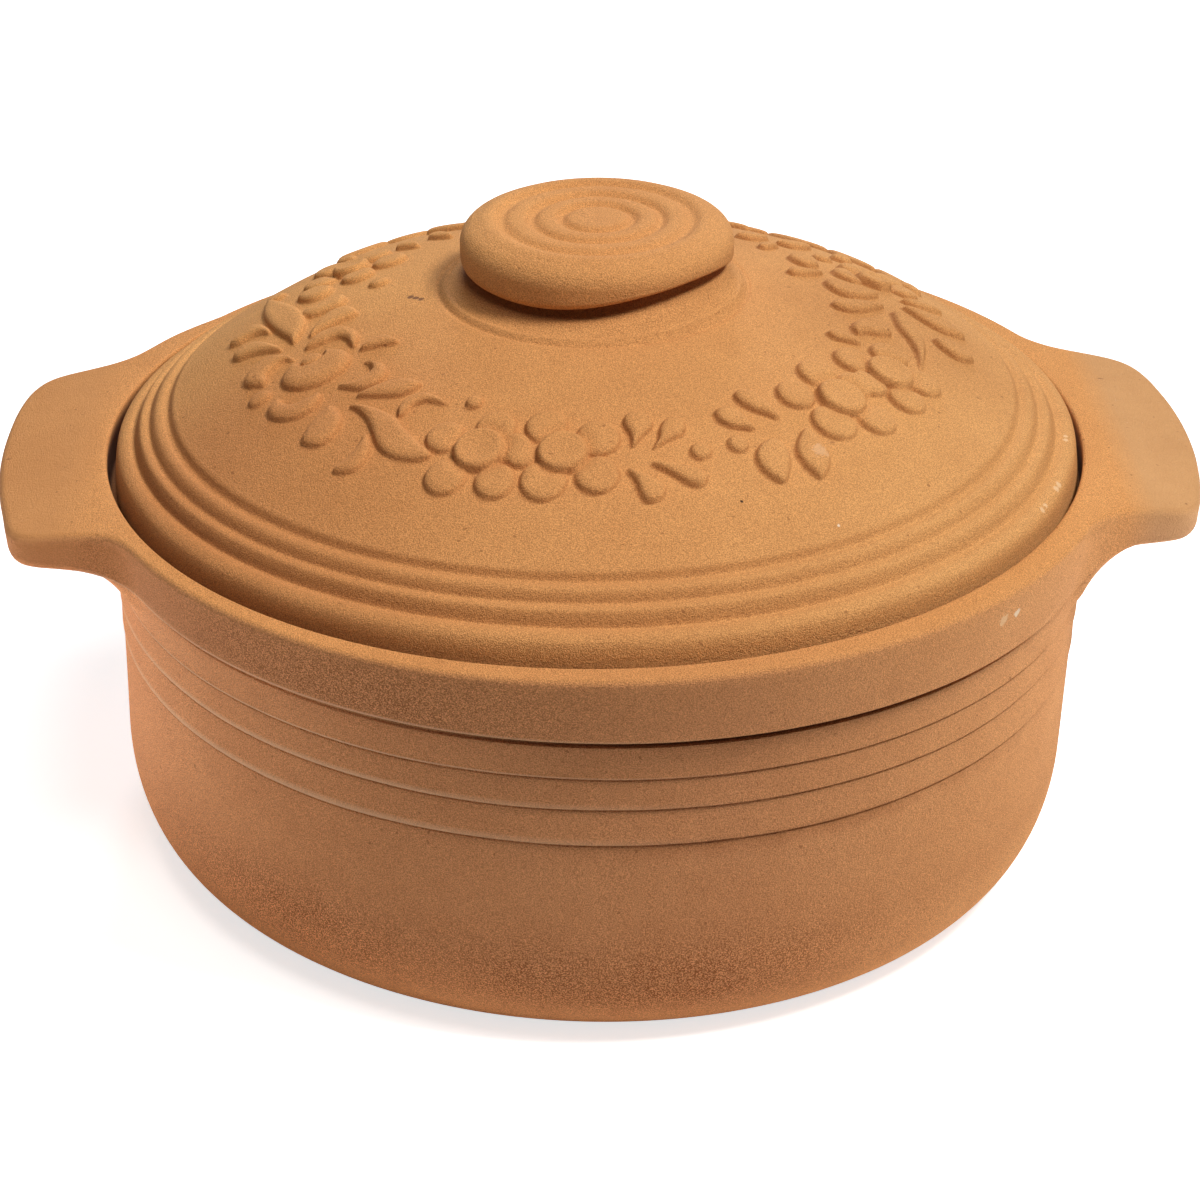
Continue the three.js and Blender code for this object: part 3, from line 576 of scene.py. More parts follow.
        ((-73.4, 58.4), (-70.6, 64.6), (-65.0, 69.2), (-59.8, 70.4), (-60.4, 66.0), (-64.6, 61.0),
         (-69.6, 57.8)),
        ((-61.4, 73.2), (-56.4, 78.2), (-51.0, 79.8), (-47.6, 78.4), (-51.6, 73.8), (-57.0, 71.6)),
        ((-49.2, 79.8), (-43.6, 84.6), (-37.6, 85.8), (-33.6, 83.4), (-38.0, 79.8), (-44.0, 78.4)),
        ((33.6, 85.4), (38.6, 87.4), (45.0, 84.8), (50.0, 79.6), (44.0, 79.4), (37.8, 81.4)),
        ((49.4, 81.4), (55.4, 79.8), (61.6, 75.2), (66.6, 68.4), (60.2, 69.4), (54.0, 74.0)),
        ((66.0, 70.4), (71.8, 67.0), (76.8, 61.0), (79.4, 54.8), (73.6, 57.4), (68.8, 62.6)),
        ((79.0, 58.0), (84.0, 53.6), (89.4, 47.2), (90.4, 43.0), (85.8, 44.6), (81.0, 50.0)),
    ],
    # round fruit with a bud set in its crown
    "fruit": {
        "middle": (-70.5, -32.6), "across": 9.0, "deep": 7.8, "height": 2.3, "edge": 4.0, "reach": 14,
        "bud": (-72.0, -27.7), "budRadius": 3.0, "budHeight": 1.7, "budEdge": 2.4,
        "cup": 3.9, "cupEdge": (0.7, 0.4),
    },
}


# Height of a moulded pad at a depth inside its outline: steep at the foot and puffed up to a round top
def padHeight(depth, height, edge):
    t = np.clip(depth / edge, 0, 1)
    return height * np.sqrt(1 - (1 - t) ** garland["padPower"])


# Depth of points inside a closed outline, softened between its corners
def leafDepth(x, y, corners):
    here = np.array(corners)
    before, after, past = np.roll(here, 1, 0), np.roll(here, -1, 0), np.roll(here, -2, 0)
    line = [curvePoint(before, here, after, past, u) for u in np.linspace(0, 1, 7)[:-1]]
    line = np.stack(line, axis=1).reshape(-1, 2)
    away = np.full(x.shape, 1e9)
    inside = np.zeros(x.shape, bool)
    for (ax, ay), (bx, by) in zip(line, np.roll(line, -1, 0)):
        dx, dy = bx - ax, by - ay
        t = np.clip(((x - ax) * dx + (y - ay) * dy) / (dx * dx + dy * dy), 0, 1)
        np.minimum(away, np.hypot(x - ax - dx * t, y - ay - dy * t), out=away)
        crosses = (ay > y) != (by > y)
        if dy:
            inside ^= crosses & (x < ax + (y - ay) * dx / dy)
    return np.where(inside, away, -away)


# Narrow leaves stay a little lower than broad ones
def leafPad(depth, height):
    s = garland
    deepest = depth.max(initial=s["leastDepth"])
    share = min(1.0, s["narrowLeaf"][0] + s["narrowLeaf"][1] * deepest / s["edge"])
    return padHeight(depth, height * share, min(s["edge"], s["leafRound"] * deepest))


def garlandHeight(x, y):
    s, f = garland, garland["fruit"]
    height = np.zeros_like(x)

    def raisePads(middle, reach, heightAt):
        near = np.hypot(x - middle[0], y - middle[1]) < reach
        height[near] = np.maximum(height[near], heightAt(x[near], y[near]))

    def flowerAt(middle, button, dish, petals):
        def heightAt(px, py):
            out = np.hypot(px - middle[0], py - middle[1])
            pad = np.zeros_like(px)
            for petalX, petalY, radius in petals:
                petal = padHeight(radius - np.hypot(px - petalX, py - petalY), s["petalHeight"], s["edge"])
                pad = np.maximum(pad, petal)
            pad *= 1 - s["petalFall"] * easeStep(button + s["fallZone"][0], button - s["fallZone"][1], out)
            cup = padHeight(button - out, s["buttonHeight"], s["buttonEdge"])
            cup -= dish * np.clip(1 - (out / (button - s["dishEdge"])) ** 2, 0, None)
            return np.maximum(pad, cup)
        return heightAt

    def dotAt(middle, radius):
        def heightAt(px, py):
            inside = radius - np.hypot(px - middle[0], py - middle[1])
            return padHeight(inside, s["dotHeight"], radius * s["dotEdge"])
        return heightAt

    def fruitAt(px, py):
        out = np.hypot((px - f["middle"][0]) / f["across"], (py - f["middle"][1]) / f["deep"])
        fromBud = np.hypot(px - f["bud"][0], py - f["bud"][1])
        body = padHeight((1 - out) * f["deep"], f["height"], f["edge"])
        body = body * easeStep(f["cup"] - f["cupEdge"][0], f["cup"] + f["cupEdge"][1], fromBud)
        return np.maximum(body, padHeight(f["budRadius"] - fromBud, f["budHeight"], f["budEdge"]))

    for flower in s["flowers"]:
        raisePads(flower[0], s["flowerReach"], flowerAt(*flower))
    for middle, radius in s["dots"]:
        raisePads(middle, radius, dotAt(middle, radius))
    for leaves, tall in ((s["leaves"], s["leafHeight"]), (s["backLeaves"], s["backHeight"])):
        for corners in leaves:
            middle = np.mean(corners, axis=0)
            reach = max(math.dist(middle, corner) for corner in corners) + s["leafMargin"]
            raisePads(middle, reach, lambda px, py: leafPad(leafDepth(px, py, corners), tall))
    raisePads(f["middle"], f["reach"], fruitAt)
    return height


# Domed lid in mm; zones are radii from where an effect starts to where it is whole
lidShape = {
    "radius": 129.3, "seat": 101.8, "flange": 120.5, "flangeTop": 109.5, "edgeRound": 2.6,
    "flangeRounds": (1.2, 1.5), "insideStart": (108.4, 120.4), "insideRadii": (104, 4), "thickness": 8.0,
    "edgeShift": (0.7, -0.6), "edgeZone": (119, 127),    # the turned-down edge sits off the dome's axis
    # sag of the brim for each mm towards the back, at the left and at the right
    "backDrop": (0.016, 0.010), "dropSides": (-0.5, 0.5), "sagZone": (88, 116), "sagHeight": 15.2,
    "domeRadius": 113.4, "domeFoot": 126.5, "domeRise": 30.9, "domeStart": 42.6,
    # three ribs and the turned-down edge, as radius and height
    "ribLine": ((111.0, 127.80), (111.7, 127.45), (112.4, 126.85), (113.0, 125.95), (113.6, 125.3),
                (114.4, 125.05), (115.4, 125.15), (116.4, 124.9), (117.2, 124.3), (117.9, 123.4),
                (118.5, 122.45), (119.1, 122.05), (120.0, 122.05), (121.0, 121.85), (121.7, 121.2),
                (122.3, 120.1), (122.8, 118.9), (123.3, 118.2), (124.0, 118.1), (125.2, 118.2),
                (126.5, 117.85), (127.5, 117.15), (128.1, 116.2), (128.5, 114.7), (128.8, 112.4),
                (129.1, 109.8), (129.3, 107.4)),
    "ribsFoot": 117.5, "creaseFall": (0.5, 0.85),        # painted shade on the steep stretches of the ribs
    # boss under the knob, its top and its side
    "bossTop": ((2.0, 163.4), (12.0, 163.4), (20.0, 163.3)),
    "boss": ((24.0, 163.0), (28.0, 162.4), (30.0, 161.2), (31.2, 159.8), (32.2, 158.5), (33.5, 157.2),
             (35.2, 155.9), (36.8, 154.9), (38.4, 154.3)),
    # on the right the boss climbs to the knob's edge: degrees, 0 at the right and -90 at the front, and mm
    "climb": ((-180, 0.0), (-120, 0.0), (-90, 0.8), (-70, 2.2), (-50, 3.6), (-25, 3.8), (0, 3.2),
              (30, 1.8), (70, 0.6), (110, 0.0), (180, 0.0)),
    "climbZone": (41.0, 34.5), "climbRows": 3,
    # foot of the boss: width, the share of it over which it falls, then height, middle and width of two rings
    "collarRun": 3.6, "collarFall": (0.15, 0.75), "collarRings": ((0.35, 0.25, 0.2), (-0.45, 0.72, 0.18)),
    "shadeZone": (35.0, 30.5), "shadeWide": 3.0, "shadeSide": -155,    # degrees, where the shade is widest
    # painted shade on the pads' sides that face the front left: shift to the neighbouring height, and the
    # rise over which the shade comes in
    "padShadeShift": (0.8, 0.65), "padShadeRise": (0.2, 1.0),
    "columns": 1320, "rowPitch": 0.4, "bossRows": 30, "collarRows": 13, "insideRows": 16, "perRib": 4,
}


def domeHeight(radius):
    s = lidShape
    return s["domeFoot"] + s["domeRise"] * (1 - (radius / s["domeRadius"]) ** 2)


# Section of the lid from the boss down to the edge and back under the dome, with the rows where its parts end
def lidLine():
    s = lidShape
    line = list(s["bossTop"])
    bossRadii, bossHeights = zip(*s["boss"])
    for radius in np.linspace(bossRadii[0], bossRadii[-1], s["bossRows"]):
        line.append((radius, np.interp(radius, bossRadii, bossHeights)))
    bossEnd = len(line)
    overDome = bossHeights[-1] - domeHeight(bossRadii[-1])
    for t in np.linspace(0, 1, s["collarRows"])[1:]:
        radius = bossRadii[-1] + s["collarRun"] * t
        height = domeHeight(radius) + overDome * (1 - easeStep(*s["collarFall"], t))
        for size, middle, width in s["collarRings"]:
            height += size * math.exp(-((t - middle) / width) ** 2)
        line.append((radius, height))
    domeStart = len(line)
    for radius in np.arange(s["domeStart"], s["ribLine"][0][0], s["rowPitch"]):
        line.append((radius, domeHeight(radius)))
    domeEnd = len(line)
    line.extend(smoothLine(s["ribLine"], s["perRib"]))
    under = roundedLine([
        (s["radius"], s["ribLine"][-1][1], 0), (s["radius"], s["seat"], s["edgeRound"]),
        (s["flange"], s["seat"], s["flangeRounds"][0]), (s["flange"], s["flangeTop"], s["flangeRounds"][1]),
        (*s["insideStart"], 0),
    ], perCorner=6, perSide=2)
    line.extend(tuple(p) for p in under[1:])
    brimEnd = len(line) - 4    # the last few rows are already under the dome
    for radius in np.linspace(*s["insideRadii"], s["insideRows"]):
        line.append((radius, domeHeight(radius) - s["thickness"]))
    return np.array(line), bossEnd, slice(domeStart, domeEnd), brimEnd


# Raises the garland square to the dome, and gives its height and the painted shade on its sides that face the
# front left
def raiseGarland(rows, zone, radii, angles):
    s = lidShape
    turn = -math.radians(throwing["lidTurn"])
    x, y = rows[zone, :, 0], rows[zone, :, 1]
    padX = x * math.cos(turn) - y * math.sin(turn)
    padY = x * math.sin(turn) + y * math.cos(turn)
    relief, padShade = np.zeros(rows.shape[:2]), np.zeros(rows.shape[:2])
    relief[zone] = garlandHeight(padX, padY)
    beside = garlandHeight(padX + s["padShadeShift"][0], padY + s["padShadeShift"][1])
    padShade[zone] = easeStep(*s["padShadeRise"], beside - relief[zone])
    slope = 2 * s["domeRise"] * radii[zone] / s["domeRadius"] ** 2
    length = np.sqrt(1 + slope ** 2)
    rows[zone, :, 2] += relief[zone] / length
    rows[zone, :, 0] += relief[zone] * (slope / length) * np.cos(angles)
    rows[zone, :, 1] += relief[zone] * (slope / length) * np.sin(angles)
    return relief, padShade


def makeLid():
    s = lidShape
    line, bossEnd, domeZone, brimEnd = lidLine()
    radii, heights = line[:, :1], line[:, 1:]
    rowNumbers = np.arange(len(line))[:, None]
    angles = np.linspace(-math.pi, math.pi, s["columns"], endpoint=False)
    rows = np.zeros((len(line), s["columns"], 3))
    rows[..., 0] = radii * np.cos(angles)
    rows[..., 1] = radii * np.sin(angles)
    rows[..., 2] = heights
    climb = np.interp(np.degrees(angles), *zip(*s["climb"]))
    climbing = slice(0, bossEnd + s["climbRows"])
    rows[climbing, :, 2] += climb * easeStep(*s["climbZone"], radii[climbing])
    relief, padShade = raiseGarland(rows, domeZone, radii, angles)

    # the brim sags towards the back
    drop = np.interp(np.cos(angles), s["dropSides"], s["backDrop"])
    sag = drop * easeStep(*s["sagZone"], radii) * np.clip((heights - s["seat"]) / s["sagHeight"], 0, 1)
    rows[..., 2] -= sag * (rowNumbers < brimEnd) * (rows[..., 1] + s["radius"])
    rows[..., 0] += throwing["lidShift"]
    rows[..., :2] += np.array(s["edgeShift"]) * easeStep(*s["edgeZone"], radii)[..., None]
    poleHeights = (s["bossTop"][0][1], domeHeight(0) - s["thickness"])
    poles = leaned(np.array([(throwing["lidShift"], 0, height) for height in poleHeights]))

    # painted shade under the knob's edge and in the creases of the ribs
    wide = s["shadeWide"] * np.clip(np.cos(angles - math.radians(s["shadeSide"])), 0, 1)
    shade = easeStep(s["shadeZone"][0] + wide, s["shadeZone"][1] + wide, radii) * (rowNumbers < bossEnd)
    fall = np.append(0, -np.diff(line[:, 1]) / np.maximum(np.hypot(*np.diff(line, axis=0).T), 1e-6))
    onRibs = (rowNumbers >= domeZone.stop) & (heights > s["ribsFoot"])
    creaseShade = np.broadcast_to(easeStep(*s["creaseFall"], fall)[:, None] * onRibs, rows.shape[:2])
    masks = {"relief": relief, "padShade": padShade, "shade": shade, "creaseShade": creaseShade}
    lid = turnedMesh("roaster_lid", leaned(rows), poles[0], poles[1], masks)
    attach(lid, "lid")
    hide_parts("lid")
    print("lid:", len(lid.data.polygons), "faces")
    return lid


knobShape = {
    "radius": 36.0, "offset": (-0.9, 0.5), "top": 172.4, "neck": 24.6, "neckFoot": 157.6, "neckRound": 0.8,
    # height and rounding of the lower edge by angle, 0 at the right and -90 at the front
    "lowerEdge": ((-180, 158.8), (-150, 159.0), (-115, 159.2), (-95, 160.6), (-75, 163.0), (-50, 164.8),
                  (-30, 164.2), (-10, 161.8), (10, 160.2), (60, 159.4), (120, 159.0), (180, 158.8)),
    "lowerRound": ((-180, 3.4), (-120, 2.6), (-90, 1.8), (-60, 1.0), (-20, 1.0), (20, 2.2), (60, 3.4),
                   (120, 3.6), (180, 3.4)),
    "softColumns": 10, "sideLeast": 0.6,
    "upperRun": 8.5, "upperRise": 6.6,
    # grooves in the top, as radius, width and depth
    "rings": ((9.4, 1.5, 1.35), (17.0, 1.6, 1.4), (25.0, 1.8, 1.25), (31.6, 1.7, 0.3)), "ringReach": 3.0,
    "shadeFrom": 9.0, "shadeTo": 1.0, "shadeTop": 6.0, "shadeZone": (36.0, 33.5),
    "columns": 192, "rollRows": 16, "topRows": 64, "topEnd": 0.6,
}


def makeKnob():
    s = knobShape
    angles = np.linspace(-math.pi, math.pi, s["columns"], endpoint=False)
    reach = s["softColumns"]
    soft = np.exp(-np.linspace(-2, 2, 2 * reach + 1) ** 2)
    soft /= soft.sum()

    def byAngle(table):
        plain = np.interp(np.degrees(angles), *zip(*table))
        return np.convolve(np.concatenate([plain[-reach:], plain, plain[:reach]]), soft, "valid")

    shoulder = s["top"] - s["upperRise"]
    topRadii = np.linspace(s["radius"] - s["upperRun"], s["topEnd"], s["topRows"])[1:]
    top = np.column_stack([topRadii, np.full(len(topRadii), s["top"])])
    sections = []
    for edgeZ, lowerRound in zip(byAngle(s["lowerEdge"]), byAngle(s["lowerRound"])):
        side = roundedLine([
            (s["neck"], s["neckFoot"], 0), (s["neck"] + 0.2, edgeZ + 0.6, s["neckRound"]),
            (s["radius"] - 0.1, edgeZ, lowerRound),
            (s["radius"], max(shoulder, edgeZ + lowerRound + s["sideLeast"]), 0),
        ], perCorner=9, perSide=4)
        start = side[-1, 1]
        roll = [(s["radius"] - s["upperRun"] * (1 - math.cos(t)), start + (s["top"] - start) * math.sin(t))
                for t in np.radians(np.linspace(0, 90, s["rollRows"]))[1:]]
        sections.append(np.vstack([side, roll, top]))
    sections = np.array(sections)
    fall = np.zeros(sections.shape[:2])
    for radius, width, depth in s["rings"]:
        fall += depth * np.exp(-((sections[..., 0] - radius) / width) ** 2)
    sections[..., 1] -= fall * (sections[..., 1] > s["top"] - s["ringReach"])

    rows = np.zeros((sections.shape[1], s["columns"], 3))
    rows[..., 0] = sections[..., 0].T * np.cos(angles) + s["offset"][0]
    rows[..., 1] = sections[..., 0].T * np.sin(angles) + s["offset"][1]
    rows[..., 2] = sections[..., 1].T
    poles = leaned(np.array([(*s["offset"], s["neckFoot"]), (*s["offset"], s["top"])], float))
    # painted shade on the knob's underside
    z, out = rows[..., 2], np.hypot(rows[..., 0], rows[..., 1])
    shade = easeStep(s["top"] - s["shadeFrom"], s["neckFoot"] + s["shadeTo"], z)
    shade = shade * (z < s["top"] - s["shadeTop"]) * easeStep(*s["shadeZone"], out)
    knob = turnedMesh("roaster_knob", leaned(rows), poles[0], poles[1], {"shade": shade})
    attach(knob, "lid")
    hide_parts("knob")
    print("knob:", len(knob.data.polygons), "faces")
    return knob


# Small tools for building node trees; a value given to them is a link or a plain number, colour or place
def feed(tree, socket, value):
    if isinstance(value, bpy.types.NodeSocket):
        tree.links.new(value, socket)
    else:
        socket.default_value = value


def addNoise(tree, place, scale, detail, rough):
    node = tree.nodes.new("ShaderNodeTexNoise")
    for label, value in (("Vector", place), ("Scale", scale), ("Detail", detail), ("Roughness", rough)):
        feed(tree, node.inputs[label], value)
    return node.outputs["Fac"]


def addRamp(tree, source, low, high, toLow=0.0, toHigh=1.0):
    node = tree.nodes.new("ShaderNodeMapRange")
    labels = ("Value", "From Min", "From Max", "To Min", "To Max")
    for label, value in zip(labels, (source, low, high, toLow, toHigh)):
        feed(tree, node.inputs[label], value)
    return node.outputs["Result"]


def addMath(tree, operation, a, b):
    node = tree.nodes.new("ShaderNodeMath")
    node.operation = operation
    feed(tree, node.inputs[0], a)
    feed(tree, node.inputs[1], b)
    return node.outputs[0]


def addDistance(tree, place, middle):
    node = tree.nodes.new("ShaderNodeVectorMath")
    node.operation = "DISTANCE"
    feed(tree, node.inputs[0], place)
    feed(tree, node.inputs[1], middle)
    return node.outputs["Value"]


def addMix(tree, factor, a, b, blend="MIX"):
    node = tree.nodes.new("ShaderNodeMix")
    node.data_type = "RGBA"
    node.blend_type = blend
    for number, value in ((0, factor), (6, a), (7, b)):    # the sockets for colours
        feed(tree, node.inputs[number], value)
    return node.outputs[2]


# Multiplies the tone by a colour where the mask is
def tint(tree, tone, mask, colour):
    return addMix(tree, mask, tone, addMix(tree, 1.0, tone, colour, "MULTIPLY"))


def allOf(tree, first, *others):
    for other in others:
        first = addMath(tree, "MULTIPLY", first, other)
    return first


def pieceMask(tree, name):
    node = tree.nodes.new("ShaderNodeAttribute")
    node.attribute_name = name
    return node.outputs["Fac"]


def noiseMask(tree, place, noise, ramp):
    return addRamp(tree, addNoise(tree, place, *noise), *ramp)


# Mask that comes in along the axes, each as axis, from and to in mm, where the other masks are too
def whereMask(tree, axes, spans, *masks):
    ramps = [addRamp(tree, axes[axis], low * mm, high * mm, *ends) for axis, low, high, *ends in spans]
    return allOf(tree, *ramps, *masks)


# A look is a colour and then its spans: it tints the clay or covers it
def tintWhere(tree, tone, axes, look, *masks):
    colour, *spans = look
    return tint(tree, tone, whereMask(tree, axes, spans, *masks), colour)


def coverWhere(tree, tone, axes, look, *masks):
    colour, *spans = look
    return addMix(tree, whereMask(tree, axes, spans, *masks), tone, colour)


# Darkens a patch, its single grains most, with the clay between them a little paler: soot on the foot,
# painted shade on the band
def sootAndShadeWhere(tree, tone, axes, look, grain, *masks):
    colour, *spans = look
    mask = whereMask(tree, axes, spans, *masks)
    tone = tint(tree, tone, mask, clayGrain["betweenDarkGrains"])
    return tint(tree, tone, allOf(tree, mask, grain), colour)


def newGroup(name, inputs, outputs):
    group = bpy.data.node_groups.new(name, "ShaderNodeTree")
    for label, kind, value in inputs:
        socket = group.interface.new_socket(label, in_out="INPUT", socket_type=kind)
        socket.default_value = value
    for label, kind in outputs:
        group.interface.new_socket(label, in_out="OUTPUT", socket_type=kind)
    return group, group.nodes.new("NodeGroupInput").outputs, group.nodes.new("NodeGroupOutput").inputs


# Sandy clay on every piece: cloudy tone, dark pits and pale sand in the grain, few specks, the grain's height
clayGrain = {
    # scale, detail and roughness of each noise
    "cloud": (22, 5, 0.6), "patch": (130, 3, 0.55), "grain": (3300, 1, 0.6), "coarse": (900, 2, 0.5),
    "specks": (640, 0, 0.5),
    # where each comes in, from and to, and what comes out there
    "cloudRamp": (0.34, 0.68, 0, 0.7), "patchRamp": (0.38, 0.64, 0, 0.3), "pitRamp": (0.54, 0.34),
    "sandRamp": (0.52, 0.68), "speckRamp": (0.835, 0.855, 0, 0.75), "roughRamp": (0.3, 0.7),
    "sand": (1.35, 1.35, 1.35, 1), "coarseShare": 0.7, "betweenDarkGrains": (1.18, 1.18, 1.18, 1),
    "roughness": (0.98, 0.84), "specular": 0.2,
}


def sandyClayGroup():
    s = clayGrain
    group, given, result = newGroup("sandyClay", (
        ("Light Tone", "NodeSocketColor", (0.66, 0.30, 0.105, 1)),
        ("Dark Tone", "NodeSocketColor", (0.5, 0.22, 0.08, 1)),
        ("Pit Tone", "NodeSocketColor", (0.3, 0.12, 0.05, 1)),
        ("Pits", "NodeSocketFloat", 0.5), ("Grain Scale", "NodeSocketFloat", s["grain"][0]),
    ), (("Color", "NodeSocketColor"), ("Height", "NodeSocketFloat"), ("Roughness", "NodeSocketFloat")))
    place = group.nodes.new("ShaderNodeTexCoord").outputs["Object"]
    noises = ("cloud", "patch", "grain", "coarse", "specks")
    cloud, patch, grain, coarse, specks = (addNoise(group, place, *s[name]) for name in noises)
    group.links.new(given["Grain Scale"], grain.node.inputs["Scale"])
    clouds, patches = addRamp(group, cloud, *s["cloudRamp"]), addRamp(group, patch, *s["patchRamp"])
    tone = addMix(group, addMath(group, "ADD", clouds, patches), given["Light Tone"], given["Dark Tone"])
    pits = allOf(group, addRamp(group, grain, *s["pitRamp"]), given["Pits"])
    tone = addMix(group, pits, tone, given["Pit Tone"])
    sand = allOf(group, addRamp(group, grain, *s["sandRamp"]), given["Pits"])
    tone = tint(group, tone, sand, s["sand"])
    tone = addMix(group, addRamp(group, specks, *s["speckRamp"]), tone, given["Pit Tone"])
    group.links.new(tone, result["Color"])
    group.links.new(addMath(group, "ADD", grain, allOf(group, coarse, s["coarseShare"])), result["Height"])
    group.links.new(addRamp(group, grain, *s["roughRamp"]), result["Roughness"])
    return group


# A knocked or stained spot: full inside its radius, with a ragged edge
chipEdge = {"noise": (900, 2, 0.6), "ragged": (0.2, 0.8, 0.4, 1.6), "fade": (1.05, 0.75)}


def chipMarkGroup():
    group, given, result = newGroup("chipMark", (
        ("Middle", "NodeSocketVector", (0, 0, 0)), ("Radius", "NodeSocketFloat", 0.002),
    ), (("Mask", "NodeSocketFloat"),))
    place = group.nodes.new("ShaderNodeTexCoord").outputs["Object"]
    away = allOf(group, addDistance(group, place, given["Middle"]),
                 noiseMask(group, place, chipEdge["noise"], chipEdge["ragged"]))
    share = addMath(group, "DIVIDE", away, given["Radius"])
    group.links.new(addRamp(group, share, *chipEdge["fade"]), result["Mask"])
    return group


sandyClay = sandyClayGroup()
chipMark = chipMarkGroup()


# Starts a clay material: the shared clay goes in, and its colour comes back for the piece's own marks,
# with the socket that they end in, the place on the piece and its three axes
def startClay(name, finish):
    material = bpy.data.materials.new(name)
    material.use_nodes = True
    tree = material.node_tree
    shader = tree.nodes["Principled BSDF"]
    shader.inputs["Specular IOR Level"].default_value = clayGrain["specular"]
    clay = tree.nodes.new("ShaderNodeGroup")
    clay.node_tree = sandyClay
    labels = ("Light Tone", "Dark Tone", "Pit Tone", "Pits", "Grain Scale")
    for label, key in zip(labels, ("light", "dark", "pit", "pits", "grain")):
        clay.inputs[label].default_value = finish[key]
    rough = addRamp(tree, clay.outputs["Roughness"], 0, 1, *clayGrain["roughness"])
    tree.links.new(rough, shader.inputs["Roughness"])
    bump = tree.nodes.new("ShaderNodeBump")
    bump.inputs["Strength"].default_value = finish["bump"]
    bump.inputs["Distance"].default_value = finish["bumpDepth"]
    tree.links.new(clay.outputs["Height"], bump.inputs["Height"])
    tree.links.new(bump.outputs["Normal"], shader.inputs["Normal"])
    place = tree.nodes.new("ShaderNodeTexCoord").outputs["Object"]
    split = tree.nodes.new("ShaderNodeSeparateXYZ")
    tree.links.new(place, split.inputs[0])
    return material, tree, clay.outputs["Color"], shader.inputs["Base Color"], place, split.outputs


def addMarks(tree, tone, kinds):
    for colour, amount, spots in kinds:
        for *middle, radius in spots:
            mark = tree.nodes.new("ShaderNodeGroup")
            mark.node_tree = chipMark
            mark.inputs["Middle"].default_value = [value * mm for value in middle]
            mark.inputs["Radius"].default_value = radius * mm
            tone = addMix(tree, allOf(tree, mark.outputs["Mask"], amount), tone, colour)
    return tone


potFinish = {
    "light": (0.67, 0.300, 0.128, 1), "dark": (0.60, 0.258, 0.106, 1), "pit": (0.34, 0.125, 0.050, 1),
    "pits": 0.62, "lugPits": 0.12, "lugStart": (132, 142), "grain": 3300, "bump": 1.0, "bumpDepth": 0.00042,
    # the rim's gold, and how much of it bounds three of the looks
    "gold": (1.08, 1.10, 0.92, 1), "rimLeftLightGold": (0.6, 0.9), "bandGold": (0.55, 0.2),
    "rightLightGold": (0.9, 0.3, 0.5, 1),
    # looks: colour, then axis, from and to in mm, and what comes out there
    # painted light on the rim's left and the wall's left; painted shade on the band's front and left
    "rimLeftLight": ((1.12, 1.12, 1.08, 1), ("X", -10, -70), ("X", -142, -132)),
    "wallLeftLight": ((1.24, 1.22, 1.20, 1), ("Z", 94, 90), ("X", -15, -95)),
    "bandFrontShade": ((0.50, 0.45, 0.41, 1), ("Z", 91, 95), ("Y", -40, -100), ("X", 30, -50)),
    "bandLeftShade": ((0.86, 0.79, 0.70, 1), ("Z", 91, 95), ("X", -60, -110)),
    # painted light down the right side and low on the foot; a bluer tint on the right lug
    "rightLight": ((1.12, 1.17, 1.06, 1), ("X", 30, 110)),
    "lugTone": ((0.89, 1.0, 1.24, 1), ("X", 134, 142)),
    "footLight": ((1.22, 1.19, 1.12, 1), ("Z", 30, 8)),
    "footRightLight": ((1.20, 1.32, 1.44, 1), ("Z", 30, 8), ("X", 20, 90)),
    "soot": ((0.42, 0.32, 0.27, 1), ("Z", 44, 26), ("Z", 5, 16), ("Y", -20, -90), ("X", 90, 30, 0.25, 1.0)),
    "stain": ((0.78, 0.70, 0.64, 1), ("Z", 57.0, 61.5), ("Z", 64.0, 62.5), ("X", -30, 10), ("Y", -60, -100)),
    "worn": ((0.74, 0.38, 0.18, 1), ("Z", 6, 1, 0.0, 0.5)),
    # painted highlights on the lips; painted shade in the creases and in the gap beside the lid's edge
    "lip": ((0.82, 0.50, 0.30, 1), ("X", 30, -60, 0.0, 0.8)),
    "groove": ((0.07, 0.028, 0.012, 1), ("X", -80, 20, 0.15, 0.95)),
    "gap": ((0.16, 0.070, 0.035, 1),), "gapAmount": 0.85,
    # noises as scale, detail and roughness, then from, to and what comes out there
    "darkGrain": ((2500, 1, 0.6), (0.57, 0.43)), "sootPatches": ((16, 4, 0.6), (0.34, 0.58, 0.6, 1.0)),
    "stainPatches": ((90, 4, 0.6), (0.35, 0.65)), "wornPatches": ((60, 3, 0.6), (0.45, 0.65)),
    # knocks on the rim: colour and strength, then places and radius in mm
    "marks": (
        ((0.80, 0.50, 0.27, 1), 0.8, ((95.4, -97.5, 106.2, 1.8),)),
        ((0.88, 0.70, 0.50, 1), 0.8, ((99.3, -93.4, 106.0, 1.1),)),
    ),
}


